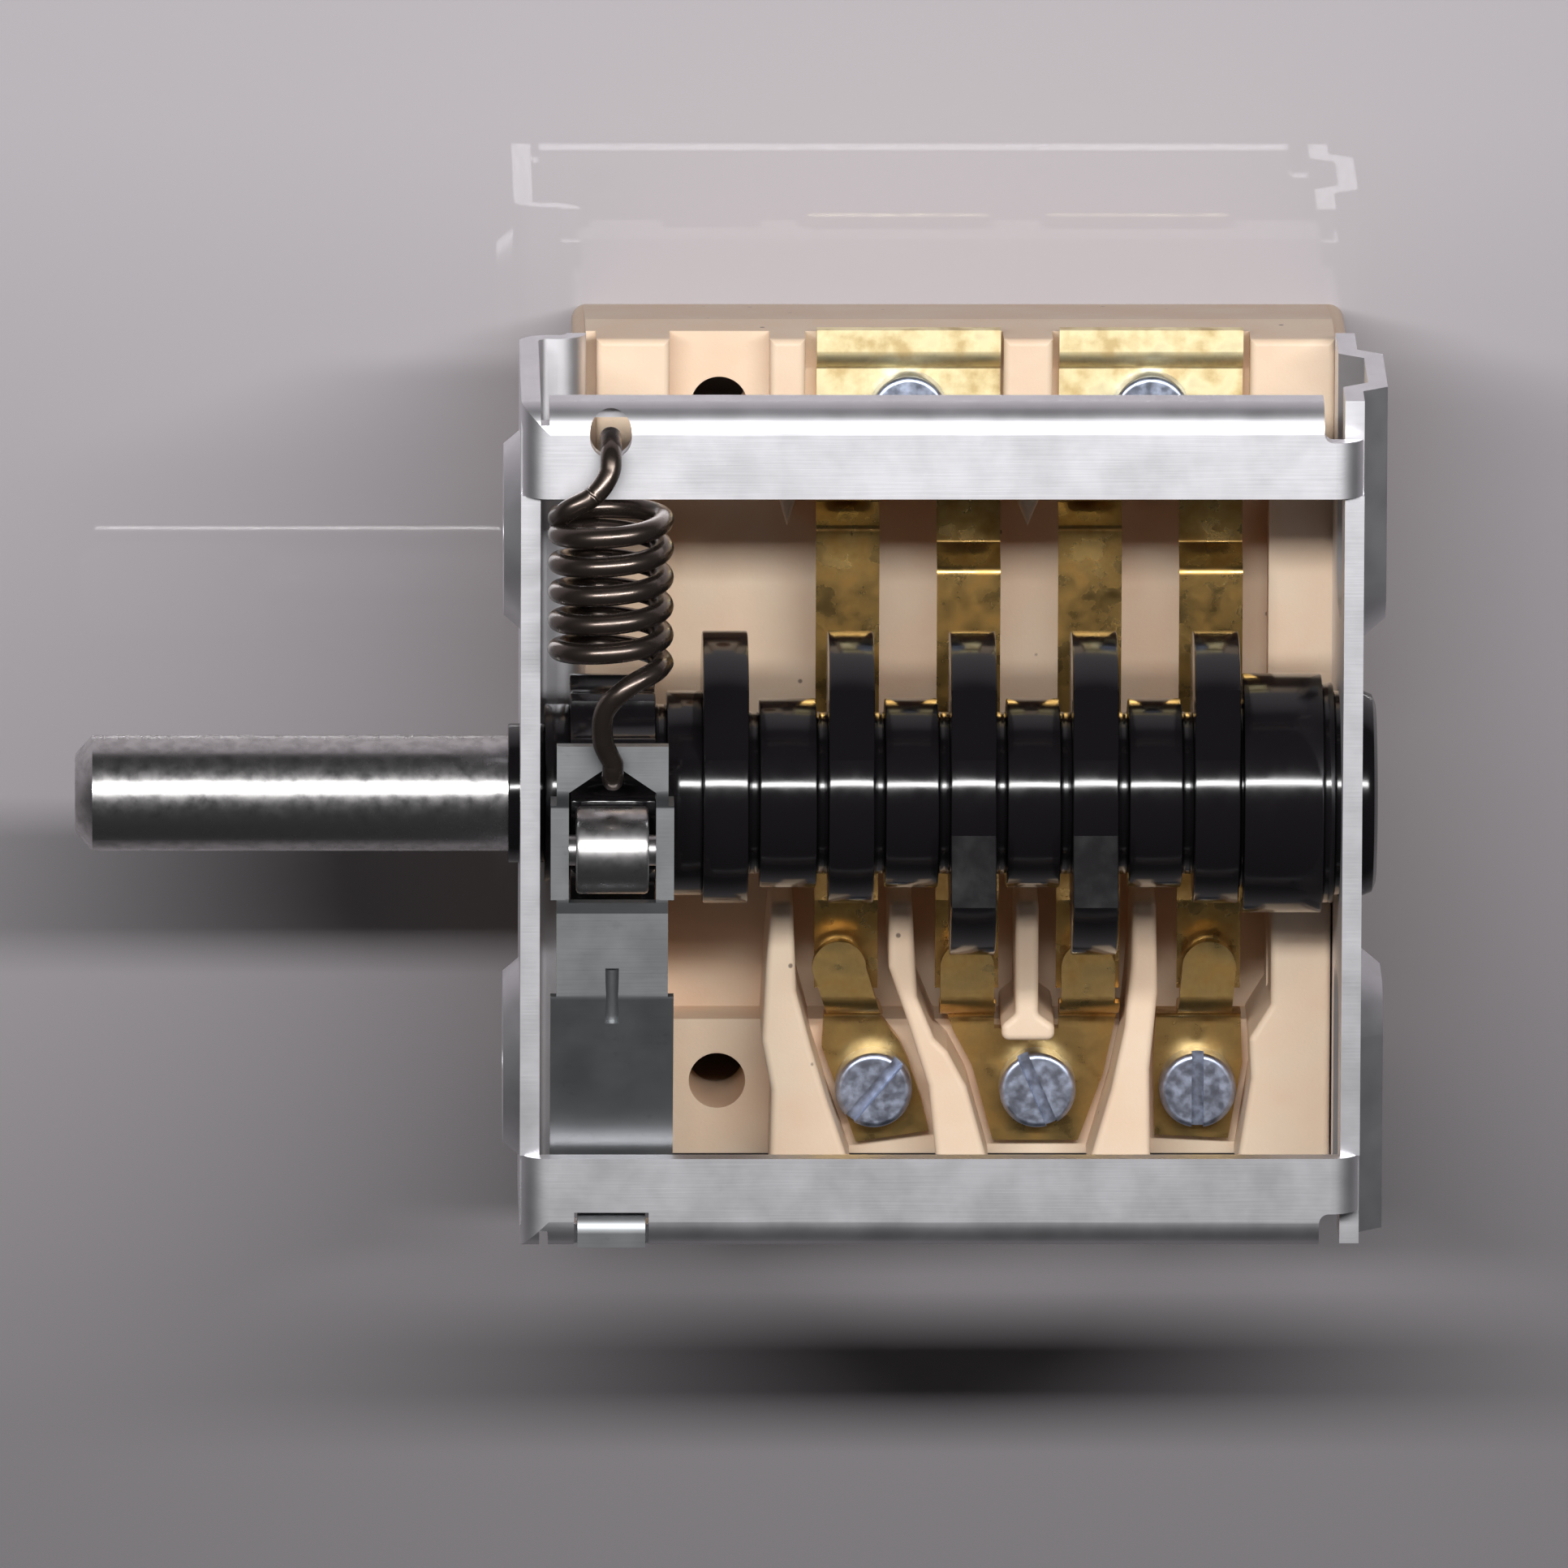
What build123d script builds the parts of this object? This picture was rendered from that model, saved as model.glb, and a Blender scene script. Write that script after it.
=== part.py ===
"""Cooktop step switch: a folded steel frame on a ceramic base, with a cam shaft that opens spring contacts.

Millimetres. X runs along the shaft from the knob end to the back, Y across the switch, +Z up.
The origin is on the shaft's axis, at the outer face of the front plate.
"""

import math
import os

from build123d import *

os.makedirs("parts", exist_ok=True)

# Fits and clearances
running_fit = 0.05
end_play = 0.3
contact_gap = 0.05
assembly_gap = 0.12

# Frame sheet
sheet = 1.0
frame_length = 43.4
frame_width = 44.6
web_top = 8.5
bar_width = 4.85
lip_height = 3.0
bend_radius = 1.5
front_shelf_z = -9.0
front_leg_inset = 2.5
leg_bottom_z = -13.2
leg_width = 42.6
front_relief_depth = 1.0
front_relief_width = 0.45
back_relief_depth = 1.9
back_relief_width = 1.1
relief_corner = 0.5

# Mounting pads on the front plate and stiffening pads on the back plate
mounting_spacing = 28.0
mounting_hole_diameter = 3.3
pad_diameter = 10.3
pad_height = 0.85
pad_slope = 40.0
back_pad_height = 1.3
back_pad_start_y = 8.5
back_pad_low_z = -5.5
back_pad_high_z = 4.6
back_pad_corner = 3.5

# Spindle
spindle_diameter = 6.0
spindle_reach = 23.0
spindle_flat_length = 10.0
spindle_across_flat = 4.6
spindle_tip_chamfer = 0.9
spindle_inner_end = 12.0
spindle_inner_diameter = 5.4

# Cam shaft
front_journal_diameter = 7.2
front_journal_proud = 0.6
rear_journal_diameter = 10.6
rear_journal_proud = 0.9
neck_diameter = 9.2
hub_diameter = 9.8
groove_diameter = 8.4
groove_width = 0.6
lobe_diameter = 16.8
cam_base_diameter = 11.4
cam_width = 2.35
cam_ramp_degrees = 22.0
first_collar_diameter = 10.6
first_collar_start = 7.6
rear_hub_diameter = 12.4
first_cam_start = 9.45
circuit_start = 15.95
circuit_pitch = 6.3
star_start = 2.6
star_width = 4.4
star_diameter = 12.4
star_notches = 12

# Detent lever with its roller
lever_sheet = 0.75
lever_width = 6.35
lever_center_x = 4.725
lever_bend_radius = 0.25
lever_low_z = 6.35
lever_top_z = 9.0
lever_low_run = 4.6
lever_rise_end_y = -8.75
lever_end_y = 4.6
lever_low_step = 0.15
lever_high_step = 0.35
lever_step_run = 0.7
lever_edge_width = 5.75
lever_flange_depth = 2.8
lever_flange_south_y = -3.6
lever_flange_north_y = 1.4
lever_window_width = 4.5
lever_window_south_y = -3.75
lever_window_shoulder_y = 2.15
lever_window_apex_y = 3.7
lever_tab_width = 3.5
lever_notch_width = 3.85
lever_notch_depth = 2.0
dart_half_length = 1.5
dart_radius = 0.35
dart_wall = 0.5
roller_diameter = 4.5
roller_length = 3.75
roller_chamfer = 0.15
roller_y = -1.2
roller_z = 7.9
roller_pin_diameter = 1.6

# Detent spring
spring_wire = 1.1
spring_outside = 6.5
spring_turns = 5
spring_pitch = 1.52
spring_last_half_turn = 0.05
spring_center_x = 4.6
spring_axis_z = 9.2
spring_first_turn_y = 8.97
spring_hook_gap = 0.2
spring_hole_width = 2.15
spring_hole_length = 2.5
spring_hole_y = 20.85
spring_hole_depth = 2.2
spring_end_y = 20.45

# Ceramic base
ceramic_bottom_z = -24.9
ledge_z = -12.05
barrier_z = -9.9
rib_z = -7.0
trough_z = -15.0
ledge_inner_y = 14.9
north_ledge_y = 21.85
south_ledge_y = -22.1
base_outer_y = 20.5
flange_z = -14.0
flange_front_x = 2.9
flange_back_x = 43.3
end_wall = 3.3
seat_thickness = 6.0
base_wall = 2.2
base_rim = 0.75
base_corner = 0.8
ceramic_edge = 0.35
rib_corner = 0.4
hollow_corner = 1.5
seat_y = 17.95
south_seat_y = -18.2
seat_hole_diameter = 2.95
screw_hole_diameter = 3.6
spare_seat_x = 10.45
north_rib_tip_y = 11.9
north_barriers = [(4.03, 7.85), (13.04, 14.9), (25.2, 27.75), (38.0, 42.4)]
crimp_width = 3.0
crimp_depth = 0.8
crimp_y = 17.0

# Terminals and their screws
terminal_sheet = 0.8
terminal_lip = 0.9
terminal_lip_start = 1.45
terminal_lip_end = 1.12
terminal_lip_overhang = 0.4
terminal_bend = 0.15
tongue_bend = 0.3
wide_terminal_width = 9.55
tongue_width = 2.8
tongue_top_z = -8.4
tongue_rise_start_y = -14.1
tongue_rise_length = 0.7
tongue_lean = 0.5
contact_y = -11.3
screw_head_diameter = 4.0
screw_head_height = 1.6
screw_thread_diameter = 3.0
screw_length = 5.5
screw_slot_width = 0.62
screw_slot_depth = 0.75
screw_rim = 0.3
left_screw_x = 18.6
left_tip_x = 16.75
middle_screw_x = 27.15
right_screw_x = 35.5

# Contact springs
strip_sheet = 0.35
strip_width = 3.3
strip_root_y = 15.7
strip_fold_y = [12.4, 10.2, 12.4, 10.2]
strip_fold_rise = 1.4
strip_nose_height = 1.85
strip_nose_width = 3.2
strip_nose_flat = 0.7
strip_fold_run = 1.2
strip_rise_start = 3.2
strip_tip_reach = 1.5
strip_bend = 0.2
contact_head_diameter = 2.4
contact_head_height = 0.5
contact_shank_diameter = 1.3
moving_rivet_diameter = 2.0
moving_rivet_height = 0.25
contact_edge = 0.1
strip_rivet_diameter = 1.6
strip_rivet_head_diameter = 2.4
strip_rivet_head_height = 0.5
strip_rivet_y = 14.4
strip_seat_y = 13.3

# Worked out from the sizes above
window_half = frame_width / 2 - bar_width
back_inner_x = frame_length - sheet
ceramic_front_x = front_leg_inset + sheet
cam_starts = [first_cam_start] + [circuit_start + n * circuit_pitch for n in range(4)]
circuit_x = [start + cam_width / 2 for start in cam_starts[1:]]
rear_hub_start = cam_starts[-1] + cam_width + 0.2
lobe_radius = lobe_diameter / 2
base_radius = cam_base_diameter / 2
roller_radius = roller_diameter / 2
terminal_top_z = ledge_z + terminal_sheet
tongue_under_z = tongue_top_z - terminal_sheet
fixed_contact_z = tongue_under_z - contact_head_height
strip_contact_z = fixed_contact_z - contact_gap - contact_head_height
barrier_y = ledge_inner_y + 0.6
tongue_end_radius = tongue_width / 2
north_screw_x = [(circuit_x[0] + circuit_x[1]) / 2, (circuit_x[2] + circuit_x[3]) / 2]
south_screw_x = [left_screw_x, middle_screw_x, right_screw_x]
circuit_tip_x = [left_tip_x] + circuit_x[1:]

# Outlines of the ribs on the south side, seen from above
south_ribs = [
    [(13.2, -7.4), (14.3, -7.4), (14.5, -12.3), (15.3, -15.3), (16.1, -18.0), (17.5, south_ledge_y),
     (13.1, south_ledge_y), (13.2, -17.6), (12.7, -14.9), (12.9, -11.0)],
    [(19.3, -7.4), (20.5, -7.4), (20.8, -12.6), (21.7, -14.8), (22.4, -15.5), (23.4, -17.4),
     (24.7, south_ledge_y), (21.9, south_ledge_y), (21.4, -17.4), (20.2, -13.6), (19.3, -11.0)],
    [(25.9, -7.4), (27.1, -7.4), (27.1, -13.5), (27.95, -14.1), (27.95, -14.9), (25.2, -14.9),
     (25.2, -14.1), (25.9, -13.5)],
    [(32.0, -7.4), (33.2, -7.4), (33.3, -12.4), (32.9, -16.5), (33.0, south_ledge_y),
     (29.6, south_ledge_y), (30.9, -17.6), (31.6, -14.2), (31.9, -11.0)],
    [(39.2, -7.4), (42.3, -7.4), (42.3, south_ledge_y), (37.4, south_ledge_y), (38.2, -17.0),
     (38.1, -14.8), (39.2, -13.0)],
]

# Outlines of the south terminals' plates, seen from above, with the circuits that each one serves
south_terminals = [
    (
        "left",
        left_screw_x,
        [0],
        [(16.0, -14.4), (18.7, -14.2), (19.95, -15.9), (20.4, -16.9), (21.1, -19.0), (21.5, -20.7),
         (17.7, -21.3), (16.8, -18.7), (15.9, -16.2)],
    ),
    (
        "middle",
        middle_screw_x,
        [1, 2],
        [(22.0, -13.2), (22.75, -15.3), (23.75, -17.2), (24.85, -21.2), (29.3, -21.2), (30.6, -17.6),
         (31.25, -14.5), (31.4, -13.2), (28.25, -13.2), (28.25, -15.2), (24.9, -15.2), (24.9, -13.2)],
    ),
    (
        "right",
        right_screw_x,
        [3],
        [(33.35, -14.2), (37.75, -14.2), (37.85, -17.0), (37.15, -21.1), (33.3, -20.9), (33.2, -16.8)],
    ),
]

# Where each cam holds its contact open, in degrees from the top towards +Y
cam_lobes = [
    [(52, 205)],
    [(52, 125)],
    [(52, 115), (283, 328)],
    [(52, 118), (283, 328)],
    [(52, 128)],
]


def on_circle(radius, degrees):
    """The point at this radius and angle of a cross section, measured from +Z towards +Y."""
    angle = math.radians(degrees)
    return (radius * math.sin(angle), radius * math.cos(angle))


def arc_points(radius, start, end):
    """Start, middle and end of an arc about the shaft's axis, between two angles of a cross section."""
    return [on_circle(radius, angle) for angle in (start, (start + end) / 2, end)]


def cam_outline(lobes):
    """A cam's outline: the base circle, raised to the lobe circle over each span, with straight ramps."""
    with BuildSketch(Plane.XY) as outline:
        with BuildLine():
            for number, (start, end) in enumerate(lobes):
                following = lobes[(number + 1) % len(lobes)][0]
                if following <= start:
                    following += 360
                rest_start = end + cam_ramp_degrees
                rest_end = following - cam_ramp_degrees
                ThreePointArc(*arc_points(lobe_radius, start, end))
                Line(on_circle(lobe_radius, end), on_circle(base_radius, rest_start))
                ThreePointArc(*arc_points(base_radius, rest_start, rest_end))
                Line(on_circle(base_radius, rest_end), on_circle(lobe_radius, following))
        make_face()
    return outline.sketch


def bent_sheet(points, thickness, inner_bend):
    """The section of a sheet whose middle line follows these points, bent at each corner."""
    knots = [Vector(*point) for point in points]
    runs = [(after - before).normalized() for before, after in zip(knots, knots[1:])]
    sides = [Vector(-run.Y, run.X) for run in runs]
    mitres = [sides[0]]
    turns = []
    for one, other in zip(sides, sides[1:]):
        mitres.append((one + other) / (1 + one.dot(other)))
        turns.append(one.X * other.Y - one.Y * other.X)
    mitres.append(sides[-1])
    left = [knot + mitre * (thickness / 2) for knot, mitre in zip(knots, mitres)]
    right = [knot - mitre * (thickness / 2) for knot, mitre in zip(knots, mitres)]
    left_bends = [inner_bend + (0 if turn > 0 else thickness) for turn in turns]
    right_bends = [inner_bend + (thickness if turn > 0 else 0) for turn in turns]
    with BuildSketch(Plane.XY) as section:
        with BuildLine():
            FilletPolyline(*left, radius=left_bends)
            FilletPolyline(*right, radius=right_bends)
            Line(left[0], right[0])
            Line(left[-1], right[-1])
        make_face()
    return section.sketch


def slotted_screw(x, y, slot_degrees):
    """A slotted cheese-head screw that stands on a terminal plate."""
    head_plane = Plane.XY.offset(terminal_top_z)
    with BuildPart() as screw:
        with BuildSketch(head_plane):
            with Locations((x, y)):
                Circle(screw_head_diameter / 2)
        extrude(amount=screw_head_height)
        rim = edges().filter_by(GeomType.CIRCLE).group_by(Axis.Z)[-1]
        fillet(rim, screw_rim)
        with BuildSketch(head_plane):
            with Locations((x, y)):
                Circle(screw_thread_diameter / 2)
        extrude(amount=-screw_length)
        with BuildSketch(head_plane.offset(screw_head_height)):
            with Locations(Location((x, y), slot_degrees)):
                Rectangle(screw_head_diameter + 1, screw_slot_width)
        extrude(amount=-screw_slot_depth, mode=Mode.SUBTRACT)
    return screw.part


# Frame
with BuildPart() as frame:
    # Two bars with down-turned lips, left by the window in the web
    with BuildSketch(Plane.YZ):
        with Locations((0, web_top - lip_height)):
            RectangleRounded(frame_width, 2 * lip_height, bend_radius)
        with Locations((0, web_top - sheet - lip_height)):
            RectangleRounded(
                frame_width - 2 * sheet,
                2 * lip_height,
                bend_radius - sheet,
                mode=Mode.SUBTRACT,
            )
        with Locations((0, web_top - 2 * lip_height)):
            Rectangle(frame_width + 1, 2 * lip_height, mode=Mode.SUBTRACT)
        with Locations((0, web_top)):
            Rectangle(2 * window_half, 2 * lip_height, mode=Mode.SUBTRACT)
    extrude(amount=frame_length)
    # The lips stop short of the plates
    with BuildSketch(Plane.XY.offset(web_top - lip_height)):
        for side in (-1, 1):
            with Locations((sheet + front_relief_width / 2, side * frame_width / 2)):
                Rectangle(front_relief_width, 2 * front_relief_depth)
            back_relief_x = back_inner_x - back_relief_width
            with Locations((back_relief_x + frame_width / 2, side * frame_width / 2)):
                RectangleRounded(frame_width, 2 * back_relief_depth, relief_corner)
    extrude(amount=lip_height + 1, mode=Mode.SUBTRACT)
    # Bends from the bars into the plates
    with BuildSketch(Plane.XZ):
        with Locations((frame_length / 2, web_top)):
            Rectangle(frame_length, 2 * bend_radius)
        with Locations((frame_length / 2, web_top - bend_radius)):
            RectangleRounded(
                frame_length, 2 * bend_radius, bend_radius - 0.01, mode=Mode.SUBTRACT
            )
            Rectangle(frame_length - 2 * bend_radius, 4 * bend_radius, mode=Mode.SUBTRACT)
    extrude(amount=frame_width / 2, both=True, mode=Mode.SUBTRACT)
    # Front plate, stepped in to a shelf and a leg that grips the base
    with BuildSketch(Plane.XZ):
        front_path = [
            (sheet / 2, web_top - bend_radius),
            (sheet / 2, front_shelf_z + sheet / 2),
            (front_leg_inset + sheet / 2, front_shelf_z + sheet / 2),
            (front_leg_inset + sheet / 2, leg_bottom_z),
        ]
        add(bent_sheet(front_path, sheet, bend_radius - sheet))
    extrude(amount=frame_width / 2, both=True)
    # Back plate
    with BuildSketch(Plane.YZ.offset(back_inner_x)):
        with Locations((0, (web_top - bend_radius + leg_bottom_z) / 2)):
            Rectangle(frame_width, web_top - bend_radius - leg_bottom_z)
    extrude(amount=sheet)
    # The plates' edges between the bars stand as high as the bends' roots
    with BuildSketch(Plane.YZ):
        with Locations((0, web_top - bend_radius)):
            Rectangle(2 * window_half, bend_radius)
    extrude(amount=sheet)
    with BuildSketch(Plane.YZ.offset(back_inner_x)):
        with Locations((0, web_top - bend_radius)):
            Rectangle(2 * window_half, bend_radius)
    extrude(amount=sheet)
    # Round pads pressed outwards round the mounting holes
    with BuildSketch(Plane.YZ):
        with GridLocations(mounting_spacing, 1, 2, 1):
            Circle(pad_diameter / 2)
    extrude(amount=-pad_height, taper=pad_slope)
    with BuildSketch(Plane.YZ.offset(sheet)):
        with GridLocations(mounting_spacing, 1, 2, 1):
            Circle(pad_diameter / 2 - sheet)
    extrude(amount=-pad_height, taper=pad_slope, mode=Mode.SUBTRACT)
    with BuildSketch(Plane.YZ.offset(-pad_height)):
        with GridLocations(mounting_spacing, 1, 2, 1):
            Circle(mounting_hole_diameter / 2)
    extrude(amount=sheet + pad_height, mode=Mode.SUBTRACT)
    # Long pads pressed outwards at both sides of the back plate, open at its ends
    pad_mid_z = (back_pad_low_z + back_pad_high_z) / 2
    pad_tall = back_pad_high_z - back_pad_low_z
    for side in (-1, 1):
        with BuildSketch(Plane.YZ.offset(frame_length)):
            with Locations((side * (back_pad_start_y + frame_width / 2), pad_mid_z)):
                RectangleRounded(frame_width, pad_tall, back_pad_corner)
        extrude(amount=back_pad_height, taper=pad_slope)
        with BuildSketch(Plane.YZ.offset(back_inner_x)):
            with Locations((side * (back_pad_start_y + frame_width / 2 + sheet), pad_mid_z)):
                RectangleRounded(frame_width, pad_tall - 2 * sheet, back_pad_corner - sheet)
        extrude(amount=back_pad_height, taper=pad_slope, mode=Mode.SUBTRACT)
        with BuildSketch(Plane.YZ.offset(back_inner_x)):
            with Locations((side * frame_width, pad_mid_z)):
                Rectangle(frame_width, 2 * pad_tall)
        extrude(amount=2 * back_pad_height, mode=Mode.SUBTRACT)
    # The legs below the shelf and the back plate's foot are narrower
    with BuildSketch(Plane.XY.offset(leg_bottom_z)):
        for side in (-1, 1):
            with Locations((frame_length / 2, side * (leg_width + frame_width) / 2)):
                Rectangle(2 * frame_length, frame_width)
    extrude(amount=front_shelf_z - sheet / 2 - leg_bottom_z, mode=Mode.SUBTRACT)
    # Bearing holes
    with BuildSketch(Plane.YZ):
        Circle(front_journal_diameter / 2 + running_fit)
    extrude(amount=sheet, mode=Mode.SUBTRACT)
    with BuildSketch(Plane.YZ.offset(back_inner_x)):
        Circle(rear_journal_diameter / 2 + running_fit)
    extrude(amount=sheet, mode=Mode.SUBTRACT)
    # Hole for the spring's hook and notch for the lever's tab
    with BuildSketch(Plane.XY.offset(web_top)):
        with Locations(Location((spring_center_x, spring_hole_y), 90)):
            SlotOverall(spring_hole_length, spring_hole_width)
    extrude(amount=-spring_hole_depth, mode=Mode.SUBTRACT)
    notch_floor = web_top - bend_radius - assembly_gap
    with BuildSketch(Plane.XY.offset(notch_floor)):
        with Locations((lever_center_x, -frame_width / 2)):
            Rectangle(lever_notch_width, 2 * lever_notch_depth)
    extrude(amount=web_top, mode=Mode.SUBTRACT)
    # Tabs crimped into the base
    for side in (-1, 1):
        with BuildSketch(Plane.XY.offset(leg_bottom_z)):
            with Locations((ceramic_front_x, side * crimp_y)):
                Rectangle(2 * crimp_depth, crimp_width)
            with Locations((back_inner_x, side * crimp_y)):
                Rectangle(2 * crimp_depth, crimp_width)
        extrude(amount=sheet)

frame.part.label = "frame"
export_step(frame.part, "parts/frame.step")

# Cam shaft
with BuildPart() as camshaft:
    front_x = -front_journal_proud
    shoulder_x = sheet + end_play
    rear_x = back_inner_x - end_play
    tip_x = frame_length + rear_journal_proud
    with BuildSketch(Plane.XY):
        with BuildLine():
            Polyline(
                (front_x, 0),
                (front_x, front_journal_diameter / 2),
                (shoulder_x, front_journal_diameter / 2),
                (shoulder_x, neck_diameter / 2),
                (first_collar_start, neck_diameter / 2),
                (first_collar_start, first_collar_diameter / 2),
                (first_cam_start, first_collar_diameter / 2),
                (first_cam_start, hub_diameter / 2),
                (rear_hub_start, hub_diameter / 2),
                (rear_hub_start, rear_hub_diameter / 2),
                (rear_x - groove_width, rear_hub_diameter / 2),
                (rear_x - groove_width, cam_base_diameter / 2),
                (rear_x, cam_base_diameter / 2),
                (rear_x, rear_journal_diameter / 2),
                (tip_x - front_journal_proud, rear_journal_diameter / 2),
                (tip_x, rear_journal_diameter / 2 - 2 * front_journal_proud),
                (tip_x, 0),
                close=True,
            )
        make_face()
    revolve(axis=Axis.X)
    # Grooves beside the cams
    groove_starts = [start - groove_width for start in cam_starts[1:]]
    groove_starts += [start + cam_width for start in cam_starts[:-1]]
    for groove_x in groove_starts:
        with BuildSketch(Plane.YZ.offset(groove_x)):
            Circle(hub_diameter)
            Circle(groove_diameter / 2, mode=Mode.SUBTRACT)
        extrude(amount=groove_width, mode=Mode.SUBTRACT)
    # Cams
    for start, lobes in zip(cam_starts, cam_lobes):
        with BuildSketch(Plane.YZ.offset(start)):
            add(cam_outline(lobes))
        extrude(amount=cam_width)
    # Star wheel for the detent roller
    star_radius = math.hypot(roller_y, roller_z)
    star_angle = math.degrees(math.atan2(roller_z, roller_y))
    with BuildSketch(Plane.YZ.offset(star_start)):
        Circle(star_diameter / 2)
        with PolarLocations(star_radius, star_notches, start_angle=star_angle):
            Circle(roller_radius + running_fit, mode=Mode.SUBTRACT)
    extrude(amount=star_width)
    # Bore that the spindle's inner end is moulded into
    with BuildSketch(Plane.YZ.offset(front_x)):
        Circle(spindle_inner_diameter / 2)
    extrude(amount=spindle_inner_end - front_x, mode=Mode.SUBTRACT)

camshaft.part.label = "camshaft"
export_step(camshaft.part, "parts/camshaft.step")

# Spindle
with BuildPart() as spindle:
    with BuildSketch(Plane.YZ.offset(-spindle_reach)):
        Circle(spindle_diameter / 2)
    extrude(amount=spindle_reach - front_journal_proud)
    with BuildSketch(Plane.YZ.offset(-front_journal_proud)):
        Circle(spindle_inner_diameter / 2)
    extrude(amount=spindle_inner_end + front_journal_proud)
    tip_edge = edges().filter_by(GeomType.CIRCLE).sort_by(Axis.X)[0]
    chamfer(tip_edge, spindle_tip_chamfer)
    flat_z = spindle_diameter / 2 - spindle_across_flat
    with BuildSketch(Plane.YZ.offset(-spindle_reach)):
        with Locations((0, flat_z - spindle_diameter / 2)):
            Rectangle(2 * spindle_diameter, spindle_diameter)
    extrude(amount=spindle_flat_length, mode=Mode.SUBTRACT)

spindle.part.label = "spindle"
export_step(spindle.part, "parts/spindle.step")

# Detent lever
lever_tab_y = -frame_width / 2 + assembly_gap
lever_turn_y = -frame_width / 2 + lever_notch_depth - assembly_gap - lever_sheet / 2
lever_rise_start_y = -frame_width / 2 + lever_low_run
lever_tab_z = web_top - assembly_gap - lever_sheet / 2
lever_rail_z = lever_top_z - lever_sheet / 2
lever_shelf_z = lever_rail_z - lever_low_step
lever_hook_z = lever_rail_z + lever_high_step
with BuildPart() as detent_lever:
    with BuildSketch(Plane.YZ.offset(lever_center_x)):
        lever_path = [
            (lever_tab_y, lever_tab_z),
            (lever_turn_y, lever_tab_z),
            (lever_turn_y, lever_low_z),
            (lever_rise_start_y, lever_low_z),
            (lever_rise_end_y, lever_shelf_z),
            (lever_flange_south_y - lever_step_run, lever_shelf_z),
            (lever_flange_south_y, lever_rail_z),
            (lever_flange_north_y, lever_rail_z),
            (lever_flange_north_y + lever_step_run, lever_hook_z),
            (lever_end_y, lever_hook_z),
        ]
        add(bent_sheet(lever_path, lever_sheet, lever_bend_radius))
    extrude(amount=lever_width / 2, both=True)
    # The tab that hooks into the lower bar is narrower than the lever
    with BuildSketch(Plane.XY):
        for side in (-1, 1):
            with Locations((lever_center_x + side * (lever_tab_width + lever_width) / 2, -frame_width / 2)):
                Rectangle(lever_width, 2 * lever_notch_depth + 2 * lever_sheet)
    extrude(amount=2 * web_top, mode=Mode.SUBTRACT)
    # Beyond the slope, only the rails beside the roller have the full width
    with BuildSketch(Plane.XY):
        for side in (-1, 1):
            edge_x = lever_center_x + side * (lever_edge_width + lever_width) / 2
            with Locations((edge_x, (lever_rise_end_y + lever_flange_south_y) / 2)):
                Rectangle(lever_width, lever_flange_south_y - lever_rise_end_y)
            with Locations((edge_x, (lever_flange_north_y + lever_end_y) / 2)):
                Rectangle(lever_width, lever_end_y - lever_flange_north_y)
    extrude(amount=2 * web_top, mode=Mode.SUBTRACT)
    # Window for the roller, with a pointed end that holds the spring's hook
    with BuildSketch(Plane.XY.offset(lever_top_z - 2 * lever_sheet)):
        half = lever_window_width / 2
        Polygon(
            (lever_center_x - half, lever_window_south_y),
            (lever_center_x + half, lever_window_south_y),
            (lever_center_x + half, lever_window_shoulder_y),
            (lever_center_x, lever_window_apex_y),
            (lever_center_x - half, lever_window_shoulder_y),
            align=None,
        )
    extrude(amount=4 * lever_sheet, mode=Mode.SUBTRACT)
    # Flanges that carry the roller's pin
    flange_mid_y = (lever_flange_south_y + lever_flange_north_y) / 2
    flange_long = lever_flange_north_y - lever_flange_south_y
    for x in (lever_center_x - lever_width / 2, lever_center_x + lever_width / 2 - lever_sheet):
        with BuildSketch(Plane.YZ.offset(x)):
            with Locations((flange_mid_y, lever_top_z - lever_flange_depth / 2)):
                RectangleRounded(flange_long, lever_flange_depth, lever_sheet)
            with Locations((flange_mid_y, lever_top_z - lever_sheet)):
                Rectangle(flange_long, 2 * lever_sheet)
        extrude(amount=lever_sheet)
    with BuildSketch(Plane.YZ.offset(lever_center_x - lever_width / 2)):
        with Locations((roller_y, roller_z)):
            Circle(roller_pin_diameter / 2)
    extrude(amount=lever_width, mode=Mode.SUBTRACT)
    # Dart pressed in across the bend: a groove on top, a rib below
    slope_run = (lever_shelf_z - lever_low_z) / (lever_rise_end_y - lever_rise_start_y) * dart_half_length
    dart_top_z = lever_shelf_z + lever_sheet / 2
    dart_start = Vector(lever_center_x, lever_rise_end_y - dart_half_length, dart_top_z - slope_run)
    dart_end = Vector(lever_center_x, lever_rise_end_y + dart_half_length, dart_top_z)
    dart_plane = Plane(origin=dart_start, x_dir=(-1, 0, 0), z_dir=dart_end - dart_start)
    with BuildSketch(dart_plane):
        Circle(dart_radius + dart_wall)
        with Locations((0, -2 * dart_wall)):
            Rectangle(4 * dart_wall, 4 * dart_wall, mode=Mode.INTERSECT)
    extrude(amount=(dart_end - dart_start).length)
    with BuildSketch(dart_plane):
        Circle(dart_radius)
    extrude(amount=(dart_end - dart_start).length, mode=Mode.SUBTRACT)

detent_lever.part.label = "detent_lever"
export_step(detent_lever.part, "parts/detent_lever.step")

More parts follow.
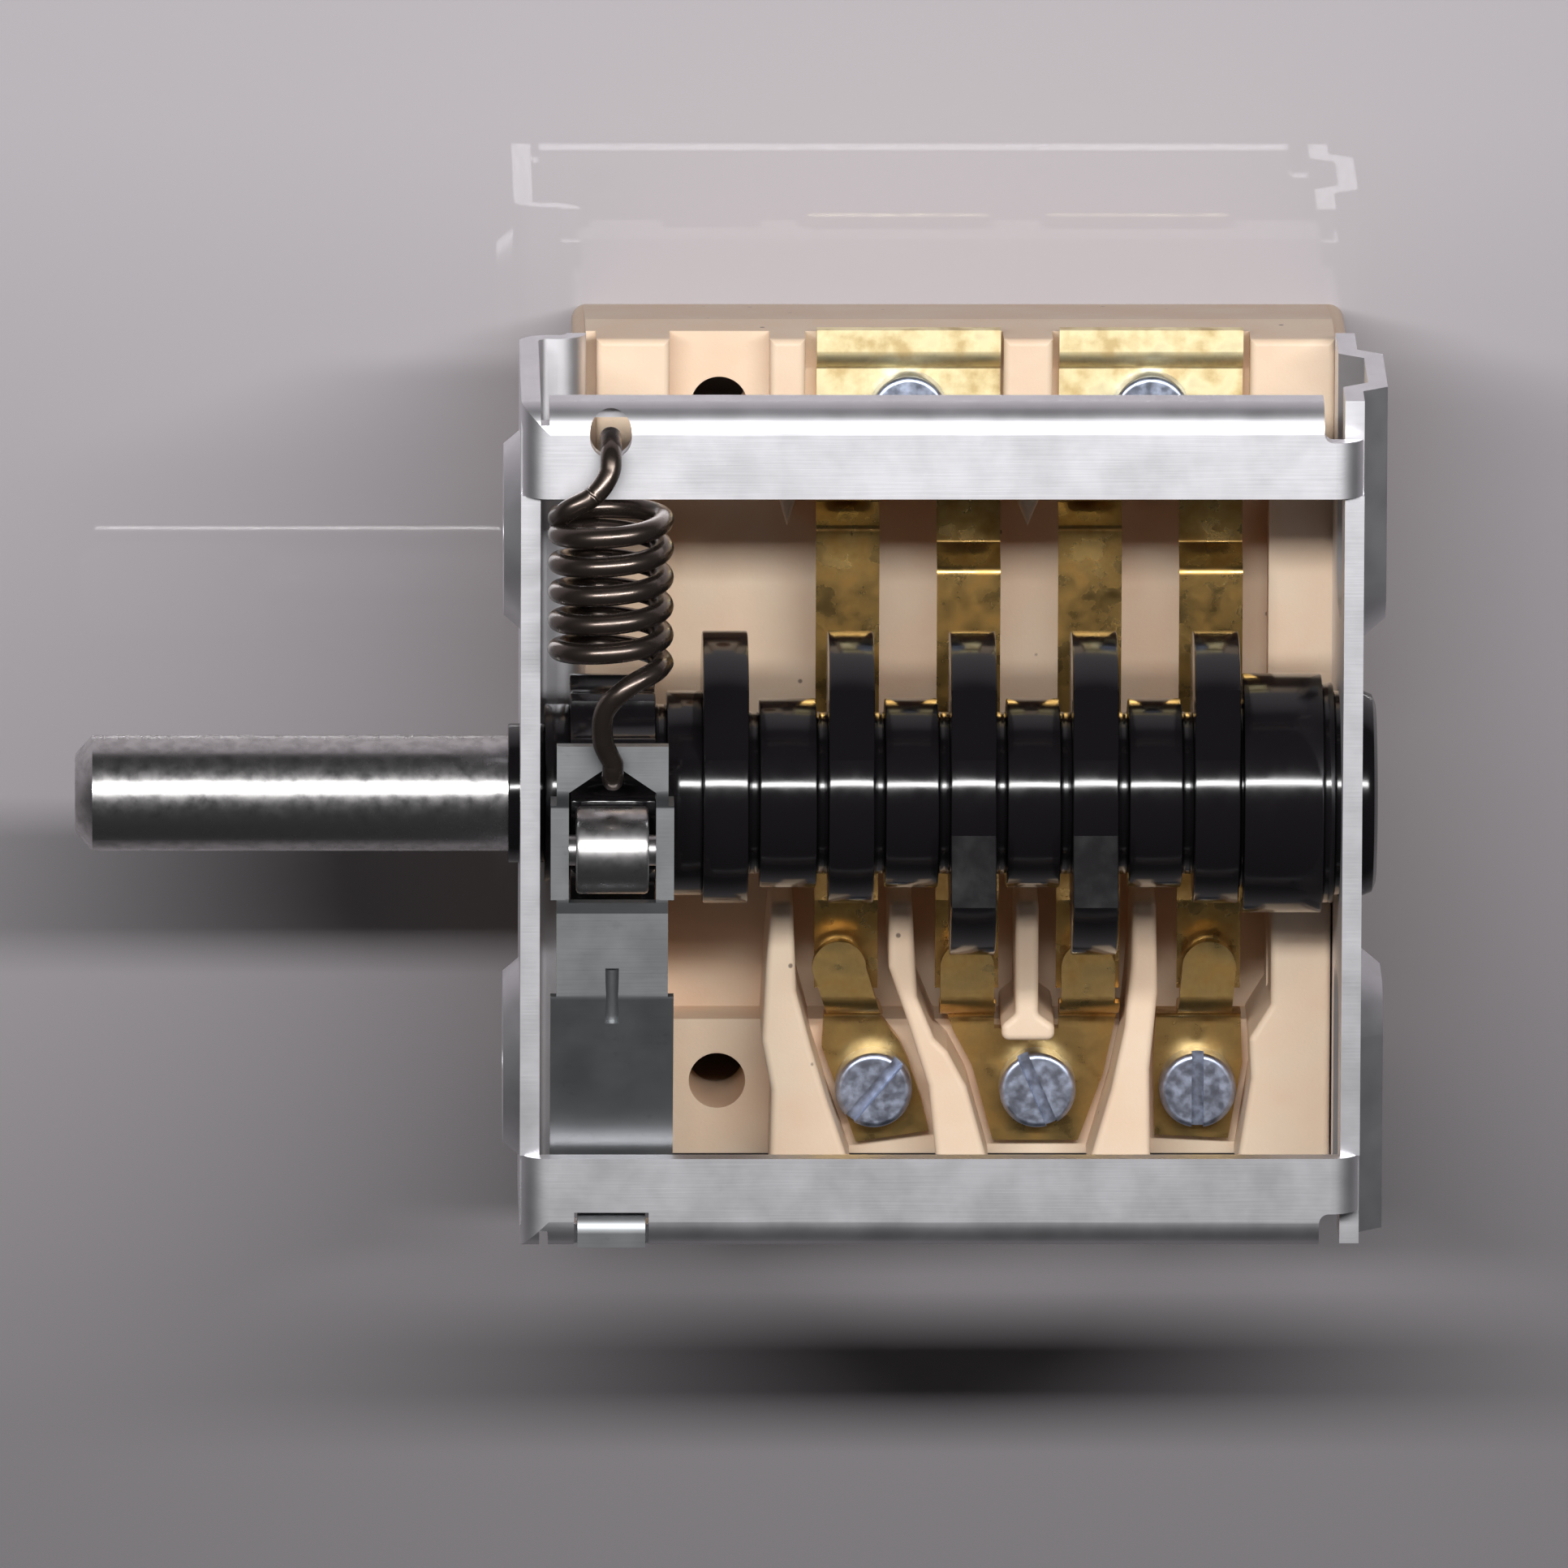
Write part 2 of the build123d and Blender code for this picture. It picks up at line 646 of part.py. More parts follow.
# Roller and its riveted pin
with BuildPart() as detent_roller:
    with BuildSketch(Plane.YZ.offset(lever_center_x - roller_length / 2)):
        with Locations((roller_y, roller_z)):
            Circle(roller_radius)
            Circle(roller_pin_diameter / 2 + running_fit, mode=Mode.SUBTRACT)
    extrude(amount=roller_length)
    roller_rims = edges().filter_by(GeomType.CIRCLE).filter_by(lambda rim: rim.radius > roller_radius - 0.01)
    chamfer(roller_rims, roller_chamfer)

detent_roller.part.label = "detent_roller"
export_step(detent_roller.part, "parts/detent_roller.step")

with BuildPart() as roller_pin:
    pin_start = lever_center_x - lever_width / 2
    with BuildSketch(Plane.YZ.offset(pin_start)):
        with Locations((roller_y, roller_z)):
            Circle(roller_pin_diameter / 2)
    extrude(amount=lever_width)

roller_pin.part.label = "roller_pin"
export_step(roller_pin.part, "parts/roller_pin.step")

# Detent spring, one wire from the lever's window over the upper bar into its hole
coil_radius = (spring_outside - spring_wire) / 2
coil_length = spring_turns * spring_pitch
coil_end_y = spring_first_turn_y + coil_length
wire_radius = spring_wire / 2
coil_axis = Axis((spring_center_x, spring_first_turn_y, spring_axis_z), (0, 1, 0))
# The lower hook goes round the lever's edge at the window's point
hook_radius = lever_sheet / 2 + spring_hook_gap + wire_radius
hook_top_z = lever_hook_z + hook_radius
hook_under_z = lever_hook_z - hook_radius
hook_center_y = lever_window_apex_y + spring_hook_gap
lower_hook = [
    (lever_center_x, hook_center_y, hook_top_z),
    (lever_center_x - 0.2 * coil_radius, hook_center_y + 1.5, hook_top_z + 0.65),
    (lever_center_x - 0.15 * coil_radius, hook_center_y + 3.4, hook_top_z + 1.35),
    (spring_center_x + 0.3 * coil_radius, spring_first_turn_y - 1.0, spring_axis_z + 0.84 * coil_radius),
]
# The last half turn lies closer, then the upper hook crosses the bar and dips into its hole
upper_hook = []
for eighth in range(1, 5):
    turned = math.radians(eighth * 45)
    upper_hook.append(
        (
            spring_center_x + coil_radius * math.cos(turned),
            coil_end_y + spring_last_half_turn * eighth / 4,
            spring_axis_z - coil_radius * math.sin(turned),
        )
    )
upper_hook += [
    (spring_center_x - 0.8 * coil_radius, coil_end_y + 1.0, spring_axis_z + wire_radius + 0.4),
    (spring_center_x - 0.2 * coil_radius, coil_end_y + 2.0, spring_axis_z + wire_radius + 0.35),
    (spring_center_x + 0.02 * coil_radius, spring_end_y - 1.3, web_top + wire_radius + 0.25),
    (spring_center_x, spring_end_y - 0.1, web_top + 0.3),
    (spring_center_x, spring_end_y, web_top - sheet),
]
with BuildPart() as detent_spring:
    with BuildLine() as turns:
        Helix(spring_pitch, coil_length, coil_radius, center=coil_axis.position, direction=(0, 1, 0))
    coil = turns.line.rotate(coil_axis, 90)
    with BuildLine() as spring_path:
        ThreePointArc(
            (lever_center_x, hook_center_y, hook_under_z),
            (lever_center_x, hook_center_y - hook_radius, lever_hook_z),
            lower_hook[0],
        )
        Spline(*lower_hook, coil @ 0, tangents=[(0, 1, 0), coil % 0])
        add(coil)
        Spline(coil @ 1, *upper_hook, tangents=[coil % 1, (0, 0, -1)])
    wire_line = spring_path.wire()
    with BuildSketch(Plane(origin=wire_line @ 0, z_dir=wire_line % 0)):
        Circle(wire_radius)
    sweep(path=wire_line)

detent_spring.part.label = "detent_spring"
export_step(detent_spring.part, "parts/detent_spring.step")

# Ceramic base
with BuildPart() as ceramic_base:
    with BuildSketch(Plane.YZ.offset(ceramic_front_x)):
        Polygon(
            (-base_outer_y, ceramic_bottom_z),
            (base_outer_y, ceramic_bottom_z),
            (north_ledge_y, trough_z),
            (north_ledge_y, ledge_z),
            (south_ledge_y, ledge_z),
            (south_ledge_y, trough_z),
            align=None,
        )
    extrude(amount=back_inner_x - ceramic_front_x)
    # Flanges under the ends of the frame's plates
    with BuildSketch(Plane.XY.offset(ceramic_bottom_z)):
        with Locations(((flange_front_x + flange_back_x) / 2, 0)):
            RectangleRounded(flange_back_x - flange_front_x, 2 * base_outer_y, base_corner)
    extrude(amount=flange_z - ceramic_bottom_z)
    # Trough under the cam shaft
    trough_long = back_inner_x - ceramic_front_x - 2 * end_wall
    with BuildSketch(Plane.XY.offset(trough_z)):
        with Locations(((ceramic_front_x + back_inner_x) / 2, 0)):
            Rectangle(trough_long, 2 * ledge_inner_y)
    extrude(amount=ledge_z - trough_z, mode=Mode.SUBTRACT)
    # Barriers on the north ledge, two of them with ribs that part the circuits
    with BuildSketch(Plane.XY.offset(ledge_z)):
        for low_x, high_x in (north_barriers[0], north_barriers[3]):
            with Locations(((low_x + high_x) / 2, (barrier_y + north_ledge_y) / 2)):
                Rectangle(high_x - low_x, north_ledge_y - barrier_y)
    extrude(amount=barrier_z - ledge_z)
    with BuildSketch(Plane.XY.offset(trough_z)):
        for low_x, high_x in north_barriers[1:3]:
            middle_x = (low_x + high_x) / 2
            Polygon(
                (low_x, north_ledge_y),
                (low_x, ledge_inner_y),
                (middle_x, north_rib_tip_y),
                (high_x, ledge_inner_y),
                (high_x, north_ledge_y),
                align=None,
            )
    extrude(amount=barrier_z - trough_z)
    fillet(edges().filter_by_position(Axis.Z, barrier_z - 0.01, barrier_z + 0.01), ceramic_edge)
    # Ribs on the south ledge
    with BuildSketch(Plane.XY.offset(trough_z)) as rib_outlines:
        for outline in south_ribs:
            Polygon(*outline, align=None)
        fillet(rib_outlines.vertices(), rib_corner)
    extrude(amount=rib_z - trough_z)
    fillet(edges().filter_by_position(Axis.Z, rib_z - 0.01, rib_z + 0.01), ceramic_edge)
    # Seats for the screws, with the hollow underside that they open into
    with BuildSketch(Plane.XY.offset(ceramic_bottom_z)):
        with Locations(((ceramic_front_x + back_inner_x) / 2, 0)):
            RectangleRounded(
                back_inner_x - ceramic_front_x - 2 * base_wall,
                2 * (base_outer_y - base_rim),
                hollow_corner,
            )
    extrude(amount=ledge_z - seat_thickness - ceramic_bottom_z, mode=Mode.SUBTRACT)
    with BuildSketch(Plane.XY.offset(ledge_z)):
        with Locations((spare_seat_x, seat_y), (spare_seat_x, south_seat_y)):
            Circle(seat_hole_diameter / 2)
        with Locations(*[(x, south_seat_y) for x in south_screw_x], *[(x, seat_y) for x in north_screw_x]):
            Circle(screw_hole_diameter / 2)
    extrude(amount=-seat_thickness, mode=Mode.SUBTRACT)
    # Pockets for the frame's crimped tabs
    for side in (-1, 1):
        with BuildSketch(Plane.XY.offset(flange_z)):
            with Locations((ceramic_front_x, side * crimp_y), (back_inner_x, side * crimp_y)):
                Rectangle(2 * crimp_depth + 2 * assembly_gap, crimp_width + 2 * assembly_gap)
        extrude(amount=leg_bottom_z + sheet + assembly_gap - flange_z, mode=Mode.SUBTRACT)

ceramic_base.part.label = "ceramic_base"
export_step(ceramic_base.part, "parts/ceramic_base.step")

# North terminals, each a plate with a rolled lip that carries two contact springs
for number, (x, strip_pair) in enumerate(zip(north_screw_x, ((0, 1), (2, 3))), 1):
    with BuildPart() as north_terminal:
        lip_z = ledge_z + terminal_sheet / 2
        lip_path = [
            (strip_seat_y, lip_z),
            (north_ledge_y - terminal_lip_start, lip_z),
            (north_ledge_y - terminal_lip_end, lip_z + terminal_lip),
            (north_ledge_y + terminal_lip_overhang, lip_z + terminal_lip),
        ]
        with BuildSketch(Plane.YZ.offset(x - wide_terminal_width / 2)):
            add(bent_sheet(lip_path, terminal_sheet, terminal_bend))
        extrude(amount=wide_terminal_width)
        with BuildSketch(Plane.XY.offset(ledge_z)):
            with Locations((x, seat_y)):
                Circle(screw_thread_diameter / 2 + running_fit)
            with Locations(*[(circuit_x[n], strip_rivet_y) for n in strip_pair]):
                Circle(strip_rivet_diameter / 2)
        extrude(amount=terminal_sheet, mode=Mode.SUBTRACT)
    north_terminal.part.label = f"north_terminal_{number}"
    export_step(north_terminal.part, f"parts/north_terminal_{number}.step")

# South terminals, each one sheet: a plate under the screw and one or two tongues for the fixed contacts
for name, screw_x, circuits, plate in south_terminals:
    plate_z = ledge_z + terminal_sheet / 2
    tongue_z = tongue_top_z - terminal_sheet / 2
    section_path = [
        (south_ledge_y, plate_z),
        (tongue_rise_start_y, plate_z),
        (tongue_rise_start_y + tongue_rise_length, tongue_z),
        (contact_y + tongue_end_radius, tongue_z),
    ]
    with BuildPart() as south_terminal:
        with BuildSketch(Plane.YZ.offset(screw_x - wide_terminal_width)):
            add(bent_sheet(section_path, terminal_sheet, tongue_bend))
        extrude(amount=2 * wide_terminal_width)
        with BuildSketch(Plane.XY.offset(ledge_z)):
            Polygon(*plate, align=None)
            for circuit in circuits:
                tip_x = circuit_tip_x[circuit]
                root_x = tip_x + (screw_x - tip_x) * tongue_lean if len(circuits) == 1 else tip_x
                with BuildLine():
                    Polyline(
                        (tip_x - tongue_width / 2, contact_y),
                        (root_x - tongue_width / 2, tongue_rise_start_y - tongue_bend),
                        (root_x + tongue_width / 2, tongue_rise_start_y - tongue_bend),
                        (tip_x + tongue_width / 2, contact_y),
                        close=True,
                    )
                make_face()
                with Locations((tip_x, contact_y)):
                    Circle(tongue_width / 2)
            with Locations((screw_x, south_seat_y)):
                Circle(screw_thread_diameter / 2 + running_fit, mode=Mode.SUBTRACT)
        extrude(amount=tongue_top_z - ledge_z, mode=Mode.INTERSECT)
    south_terminal.part.label = f"south_terminal_{name}"
    export_step(south_terminal.part, f"parts/south_terminal_{name}.step")

# Fixed contacts, welded under the tongues, and moving contacts, riveted into the springs
for number, x in enumerate(circuit_tip_x, 1):
    with BuildPart() as fixed_contact:
        with BuildSketch(Plane.XY.offset(fixed_contact_z)):
            with Locations((x, contact_y)):
                Circle(contact_head_diameter / 2)
        extrude(amount=contact_head_height)
        fillet(edges().filter_by(GeomType.CIRCLE).group_by(Axis.Z)[0], contact_edge)
    fixed_contact.part.label = f"fixed_contact_{number}"
    export_step(fixed_contact.part, f"parts/fixed_contact_{number}.step")

for number, (x, tip_x) in enumerate(zip(circuit_x, circuit_tip_x), 1):
    with BuildPart() as moving_contact:
        for height, radius, depth in (
            (strip_contact_z, contact_head_diameter / 2, contact_head_height),
            (strip_contact_z - strip_sheet, contact_shank_diameter / 2, strip_sheet),
            (
                strip_contact_z - strip_sheet - moving_rivet_height,
                moving_rivet_diameter / 2,
                moving_rivet_height,
            ),
        ):
            with BuildSketch(Plane.XY.offset(height)):
                with Locations((tip_x, contact_y)):
                    Circle(radius)
            extrude(amount=depth)
        fillet(edges().filter_by(GeomType.CIRCLE).group_by(Axis.Z)[-1], contact_edge)
    moving_contact.part.label = f"moving_contact_{number}"
    export_step(moving_contact.part, f"parts/moving_contact_{number}.step")

# Contact springs, from the north terminals under the cams to the fixed contacts
for number, (x, fold_y) in enumerate(zip(circuit_x, strip_fold_y), 1):
    root_z = terminal_top_z + strip_sheet / 2
    run_z = root_z + strip_fold_rise
    tip_z = strip_contact_z - strip_sheet / 2
    half_nose = strip_nose_width / 2
    strip_path = [
        (strip_root_y, root_z),
        (fold_y + strip_fold_run / 2, root_z),
        (fold_y - strip_fold_run / 2, run_z),
        (half_nose, run_z),
        (strip_nose_flat / 2, run_z + strip_nose_height),
        (-strip_nose_flat / 2, run_z + strip_nose_height),
        (-half_nose, run_z),
        (contact_y + strip_rise_start, tip_z),
        (contact_y - strip_tip_reach, tip_z),
    ]
    with BuildPart() as contact_spring:
        with BuildSketch(Plane.YZ.offset(x - strip_width / 2)):
            add(bent_sheet(strip_path, strip_sheet, strip_bend))
        extrude(amount=strip_width)
        with BuildSketch(Plane.XY.offset(strip_contact_z - strip_sheet)):
            with Locations((circuit_tip_x[number - 1], contact_y)):
                Circle(contact_shank_diameter / 2)
        extrude(amount=strip_sheet, mode=Mode.SUBTRACT)
        with BuildSketch(Plane.XY.offset(terminal_top_z)):
            with Locations((x, strip_rivet_y)):
                Circle(strip_rivet_diameter / 2)
        extrude(amount=strip_sheet, mode=Mode.SUBTRACT)
    contact_spring.part.label = f"contact_spring_{number}"
    export_step(contact_spring.part, f"parts/contact_spring_{number}.step")

    with BuildPart() as strip_rivet:
        with BuildSketch(Plane.XY.offset(ledge_z)):
            with Locations((x, strip_rivet_y)):
                Circle(strip_rivet_diameter / 2)
        extrude(amount=terminal_sheet + strip_sheet)
        with BuildSketch(Plane.XY.offset(terminal_top_z + strip_sheet)):
            with Locations((x, strip_rivet_y)):
                Circle(strip_rivet_head_diameter / 2)
        extrude(amount=strip_rivet_head_height)
        fillet(edges().filter_by(GeomType.CIRCLE).group_by(Axis.Z)[-1], 0.8 * strip_rivet_head_height)
    strip_rivet.part.label = f"strip_rivet_{number}"
    export_step(strip_rivet.part, f"parts/strip_rivet_{number}.step")

# Terminal screws
screws = [(f"north_screw_{n}", x, seat_y, 0) for n, x in enumerate(north_screw_x, 1)]
screws += [
    ("south_screw_left", left_screw_x, south_seat_y, 50),
    ("south_screw_middle", middle_screw_x, south_seat_y, -67),
    ("south_screw_right", right_screw_x, south_seat_y, 90),
]
for name, x, y, slot_degrees in screws:
    screw = slotted_screw(x, y, slot_degrees)
    screw.label = name
    export_step(screw, f"parts/{name}.step")
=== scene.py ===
"""Finished look of the cooktop step switch, laid out as an add-on and run as a script.

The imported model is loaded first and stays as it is. Turned, wound and bent pieces are worked out
again as fine surfaces in the same place, and every piece gets its own finish.
Sizes in the functions below are in millimetres until a mesh is made, which is in metres.
"""

import math

import bmesh
import bpy
import numpy as np
from mathutils import Matrix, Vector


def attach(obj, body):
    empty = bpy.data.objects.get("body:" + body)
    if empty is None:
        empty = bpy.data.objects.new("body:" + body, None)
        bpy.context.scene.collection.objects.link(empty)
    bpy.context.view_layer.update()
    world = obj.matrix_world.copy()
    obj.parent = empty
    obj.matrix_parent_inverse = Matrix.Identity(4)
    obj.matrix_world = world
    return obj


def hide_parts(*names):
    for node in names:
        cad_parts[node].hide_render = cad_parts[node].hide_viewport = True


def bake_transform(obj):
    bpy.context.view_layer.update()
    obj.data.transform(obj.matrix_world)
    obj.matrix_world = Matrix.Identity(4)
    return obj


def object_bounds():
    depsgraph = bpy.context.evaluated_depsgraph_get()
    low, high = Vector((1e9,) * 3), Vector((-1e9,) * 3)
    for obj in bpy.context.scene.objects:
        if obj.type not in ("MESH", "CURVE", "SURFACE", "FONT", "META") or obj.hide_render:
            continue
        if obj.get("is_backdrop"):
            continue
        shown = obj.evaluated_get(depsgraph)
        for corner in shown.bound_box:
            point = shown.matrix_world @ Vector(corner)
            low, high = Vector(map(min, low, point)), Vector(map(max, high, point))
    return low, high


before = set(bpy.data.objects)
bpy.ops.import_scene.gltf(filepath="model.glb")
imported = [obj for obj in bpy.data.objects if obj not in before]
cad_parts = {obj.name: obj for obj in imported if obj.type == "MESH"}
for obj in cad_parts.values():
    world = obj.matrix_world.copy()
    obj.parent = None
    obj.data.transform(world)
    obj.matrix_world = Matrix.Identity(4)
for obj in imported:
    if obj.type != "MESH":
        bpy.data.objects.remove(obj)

bl_info = {
    "name": "Cooktop step switch",
    "version": (1, 0, 0),
    "blender": (4, 5, 0),
    "location": "View3D > Sidebar > Step switch",
    "description": "Builds the finished look of a cooktop step switch around its packed model",
    "category": "Object",
}

MM = 0.001
CIRCUITS = range(4)
CAM_STARTS = [9.45, 15.95, 22.25, 28.55, 34.85]
CAM_WIDTH = 2.35
CAM_LOBES = [
    [(52, 205)],
    [(52, 125)],
    [(52, 115), (283, 328)],
    [(52, 118), (283, 328)],
    [(52, 128)],
]


# Colours and sizes that a user would change


class SwitchColours(bpy.types.PropertyGroup):
    """Base colours of the finishes."""

    zinc: bpy.props.FloatVectorProperty(
        name="Zinc plating", description="Folded frame", subtype="COLOR", size=3,
        min=0, max=1, default=(0.80, 0.79, 0.82),
    )
    lever: bpy.props.FloatVectorProperty(
        name="Lever plating", description="Detent lever", subtype="COLOR", size=3,
        min=0, max=1, default=(0.36, 0.37, 0.38),
    )
    steel: bpy.props.FloatVectorProperty(
        name="Ground steel", description="Spindle, roller and pin", subtype="COLOR", size=3,
        min=0, max=1, default=(0.66, 0.64, 0.64),
    )
    screw: bpy.props.FloatVectorProperty(
        name="Screw plating", description="Terminal screws", subtype="COLOR", size=3,
        min=0, max=1, default=(0.42, 0.47, 0.60),
    )
    spring: bpy.props.FloatVectorProperty(
        name="Spring wire", description="Oiled detent spring", subtype="COLOR", size=3,
        min=0, max=1, default=(0.13, 0.10, 0.085),
    )
    ceramic: bpy.props.FloatVectorProperty(
        name="Ceramic", description="Unglazed base", subtype="COLOR", size=3,
        min=0, max=1, default=(0.86, 0.68, 0.51),
    )
    phenolic: bpy.props.FloatVectorProperty(
        name="Phenolic", description="Moulded cam shaft", subtype="COLOR", size=3,
        min=0, max=1, default=(0.007, 0.006, 0.007),
    )
    brass: bpy.props.FloatVectorProperty(
        name="Brass", description="Terminals", subtype="COLOR", size=3,
        min=0, max=1, default=(0.66, 0.45, 0.17),
    )
    # Painted light: a brighter, paler copy of the terminal brass for the north terminals, whose lips catch
    # the lamp.
    brass_painted_lit: bpy.props.FloatVectorProperty(
        name="Brass painted lit", description="North terminals", subtype="COLOR", size=3,
        min=0, max=1, default=(1.0, 0.88, 0.55),
    )
    bronze: bpy.props.FloatVectorProperty(
        name="Spring bronze", description="Contact springs", subtype="COLOR", size=3,
        min=0, max=1, default=(0.60, 0.38, 0.13),
    )
    silver: bpy.props.FloatVectorProperty(
        name="Contact silver", description="Contact rivets", subtype="COLOR", size=3,
        min=0, max=1, default=(0.72, 0.68, 0.60),
    )
    floor: bpy.props.FloatVectorProperty(
        name="Floor", description="Pale floor, painted darker to the south", subtype="COLOR", size=3,
        min=0, max=1, default=(0.46, 0.43, 0.455),
    )


class SwitchSizes(bpy.types.PropertyGroup):
    """Small sizes that only the finished look has."""

    cam_edge: bpy.props.FloatProperty(
        name="Cam edge", description="Rounding of the cams' edges, in millimetres",
        min=0.01, max=0.3, default=0.1,
    )
    wire: bpy.props.FloatProperty(
        name="Spring wire", description="Diameter of the detent spring's wire, in millimetres",
        min=0.8, max=1.2, default=1.1,
    )
    sheet_edge: bpy.props.FloatProperty(
        name="Sheet edge", description="Rounding of the cut edges of the sheet pieces, in millimetres",
        min=0.01, max=0.3, default=0.1,
    )
    screw_edge: bpy.props.FloatProperty(
        name="Screw edge", description="Rounding of the screw heads and their slots, in millimetres",
        min=0.01, max=0.3, default=0.12,
    )


class SwitchStudio(bpy.types.PropertyGroup):
    """The studio round the switch."""

    key_power: bpy.props.FloatProperty(
        name="Key power", description="Power of the main lamp", unit="POWER", min=0, default=0.95,
    )
    key_tilt: bpy.props.FloatProperty(
        name="Key tilt", description="How far the main lamp stands from overhead, towards +Y",
        subtype="ANGLE", default=math.radians(23),
    )
    key_distance: bpy.props.FloatProperty(
        name="Key distance", description="From the main lamp to the switch", unit="LENGTH",
        min=0.1, default=0.25,
    )
    fill_level: bpy.props.FloatProperty(
        name="Fill level", description="Strength of the even light of the world", min=0, default=0.035,
    )
    distance: bpy.props.FloatProperty(
        name="Camera distance", description="From the camera to the switch", unit="LENGTH",
        min=0.5, default=1.804,
    )


# Curves and surfaces


def unit(vectors):
    """Each vector divided by its own length."""
    return vectors / np.linalg.norm(vectors, axis=-1, keepdims=True)


def finish_mesh(name, verts, faces, smooth_degrees=30):
    """A mesh in metres from points in millimetres, with doubles merged and faces turned outwards."""
    mesh = bpy.data.meshes.new(name)
    mesh.from_pydata((verts * MM).tolist(), [], faces)
    edit = bmesh.new()
    edit.from_mesh(mesh)
    bmesh.ops.remove_doubles(edit, verts=edit.verts, dist=0.5e-6)
    bmesh.ops.recalc_face_normals(edit, faces=edit.faces)
    edit.to_mesh(mesh)
    edit.free()
    mesh.shade_smooth()
    mesh.set_sharp_from_angle(angle=math.radians(smooth_degrees))
    return mesh


def place(name, mesh, material, body=None, nodes=()):
    """An object for a finished mesh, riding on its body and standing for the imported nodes."""
    piece = bpy.data.objects.new(name, mesh)
    bpy.context.scene.collection.objects.link(piece)
    mesh.materials.append(material)
    if body:
        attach(piece, body)
    if nodes:
        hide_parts(*nodes)
    return piece


def grid_faces(rows, columns, wrap, first=0):
    """Quads between neighbouring rows and columns of a grid.

    The last column is joined to the first if the grid wraps.
    """
    index = first + np.arange(rows * columns).reshape(rows, columns)
    if wrap:
        here, beside = index, np.roll(index, -1, axis=1)
    else:
        here, beside = index[:, :-1], index[:, 1:]
    quads = np.stack([here[:-1], beside[:-1], beside[1:], here[1:]], axis=-1)
    return quads.reshape(-1, 4).tolist()


def turned(stations, angles, centre=(0.0, 0.0)):
    """Points of a body about an axis along X.

    A station is a place along X and a radius, or a radius for each angle from +Z towards +Y.
    Point = (x, centre y + radius times sin angle, centre z + radius times cos angle).
    """
    x = np.array([station[0] for station in stations], float)[:, None]
    radius = np.stack([np.broadcast_to(station[1], angles.shape) for station in stations])
    y = centre[0] + radius * np.sin(angles)
    z = centre[1] + radius * np.cos(angles)
    return np.stack([np.broadcast_to(x, y.shape), y, z], axis=-1)


def through(points, per_span):
    """A smooth line through the points.

    Each span is a cubic, whose slope at a point is half the step from the point before to the one after.
    """
    points = np.array(points, float)
    slopes = np.gradient(points, axis=0)
    t = np.linspace(0, 1, per_span, endpoint=False)[None, :, None]
    a, b = points[:-1, None], points[1:, None]
    slope_a, slope_b = slopes[:-1, None], slopes[1:, None]
    line = (
        (2 * t**3 - 3 * t**2 + 1) * a
        + (t**3 - 2 * t**2 + t) * slope_a
        + (3 * t**2 - 2 * t**3) * b
        + (t**3 - t**2) * slope_b
    )
    return np.concatenate([line.reshape(-1, points.shape[1]), points[-1:]])


# Materials


def blank(name, colour, metallic, roughness):
    """A material with its shader's even values set on the shader."""
    material = bpy.data.materials.new(name)
    material.use_nodes = True
    tree = material.node_tree
    shader = tree.nodes["Principled BSDF"]
    shader.inputs["Base Color"].default_value = (*colour, 1)
    shader.inputs["Metallic"].default_value = metallic
    shader.inputs["Roughness"].default_value = roughness
    return material, tree, shader


def noise(tree, size_mm, stretch=(1, 1, 1), detail=3.0, roughness=0.5):
    """Noise on Object coordinates, with features of about size_mm, longer along an axis by its stretch."""
    coordinates = tree.nodes.new("ShaderNodeTexCoord")
    mapping = tree.nodes.new("ShaderNodeMapping")
    mapping.inputs["Scale"].default_value = [1 / (size_mm * MM * s) for s in stretch]
    texture = tree.nodes.new("ShaderNodeTexNoise")
    texture.inputs["Scale"].default_value = 1.0
    texture.inputs["Detail"].default_value = detail
    texture.inputs["Roughness"].default_value = roughness
    tree.links.new(coordinates.outputs["Object"], mapping.inputs["Vector"])
    tree.links.new(mapping.outputs["Vector"], texture.inputs["Vector"])
    return texture.outputs["Fac"]


def remap(tree, value, low, high, to_low, to_high):
    """The value's span from low to high carried to the span from to_low to to_high."""
    node = tree.nodes.new("ShaderNodeMapRange")
    node.inputs["From Min"].default_value = low
    node.inputs["From Max"].default_value = high
    node.inputs["To Min"].default_value = to_low
    node.inputs["To Max"].default_value = to_high
    tree.links.new(value, node.inputs["Value"])
    return node.outputs["Result"]


def mix_colour(tree, share, first, second):
    """First colour where the share is 0, second where it is 1. A colour may be another node's output."""
    node = tree.nodes.new("ShaderNodeMix")
    node.data_type = "RGBA"
    tree.links.new(share, node.inputs[0])
    for socket, colour in ((node.inputs[6], first), (node.inputs[7], second)):
        if isinstance(colour, bpy.types.NodeSocket):
            tree.links.new(colour, socket)
        else:
            socket.default_value = (*colour, 1)
    return node.outputs[2]


def bump(tree, shader, height, depth_mm, strength=1.0):
    """Small relief of the given depth, from a height between 0 and 1."""
    node = tree.nodes.new("ShaderNodeBump")
    node.inputs["Strength"].default_value = strength
    node.inputs["Distance"].default_value = depth_mm * MM
    tree.links.new(height, node.inputs["Height"])
    tree.links.new(node.outputs["Normal"], shader.inputs["Normal"])


def darker(colour, factor):
    """The colour times a factor."""
    return tuple(channel * factor for channel in colour)


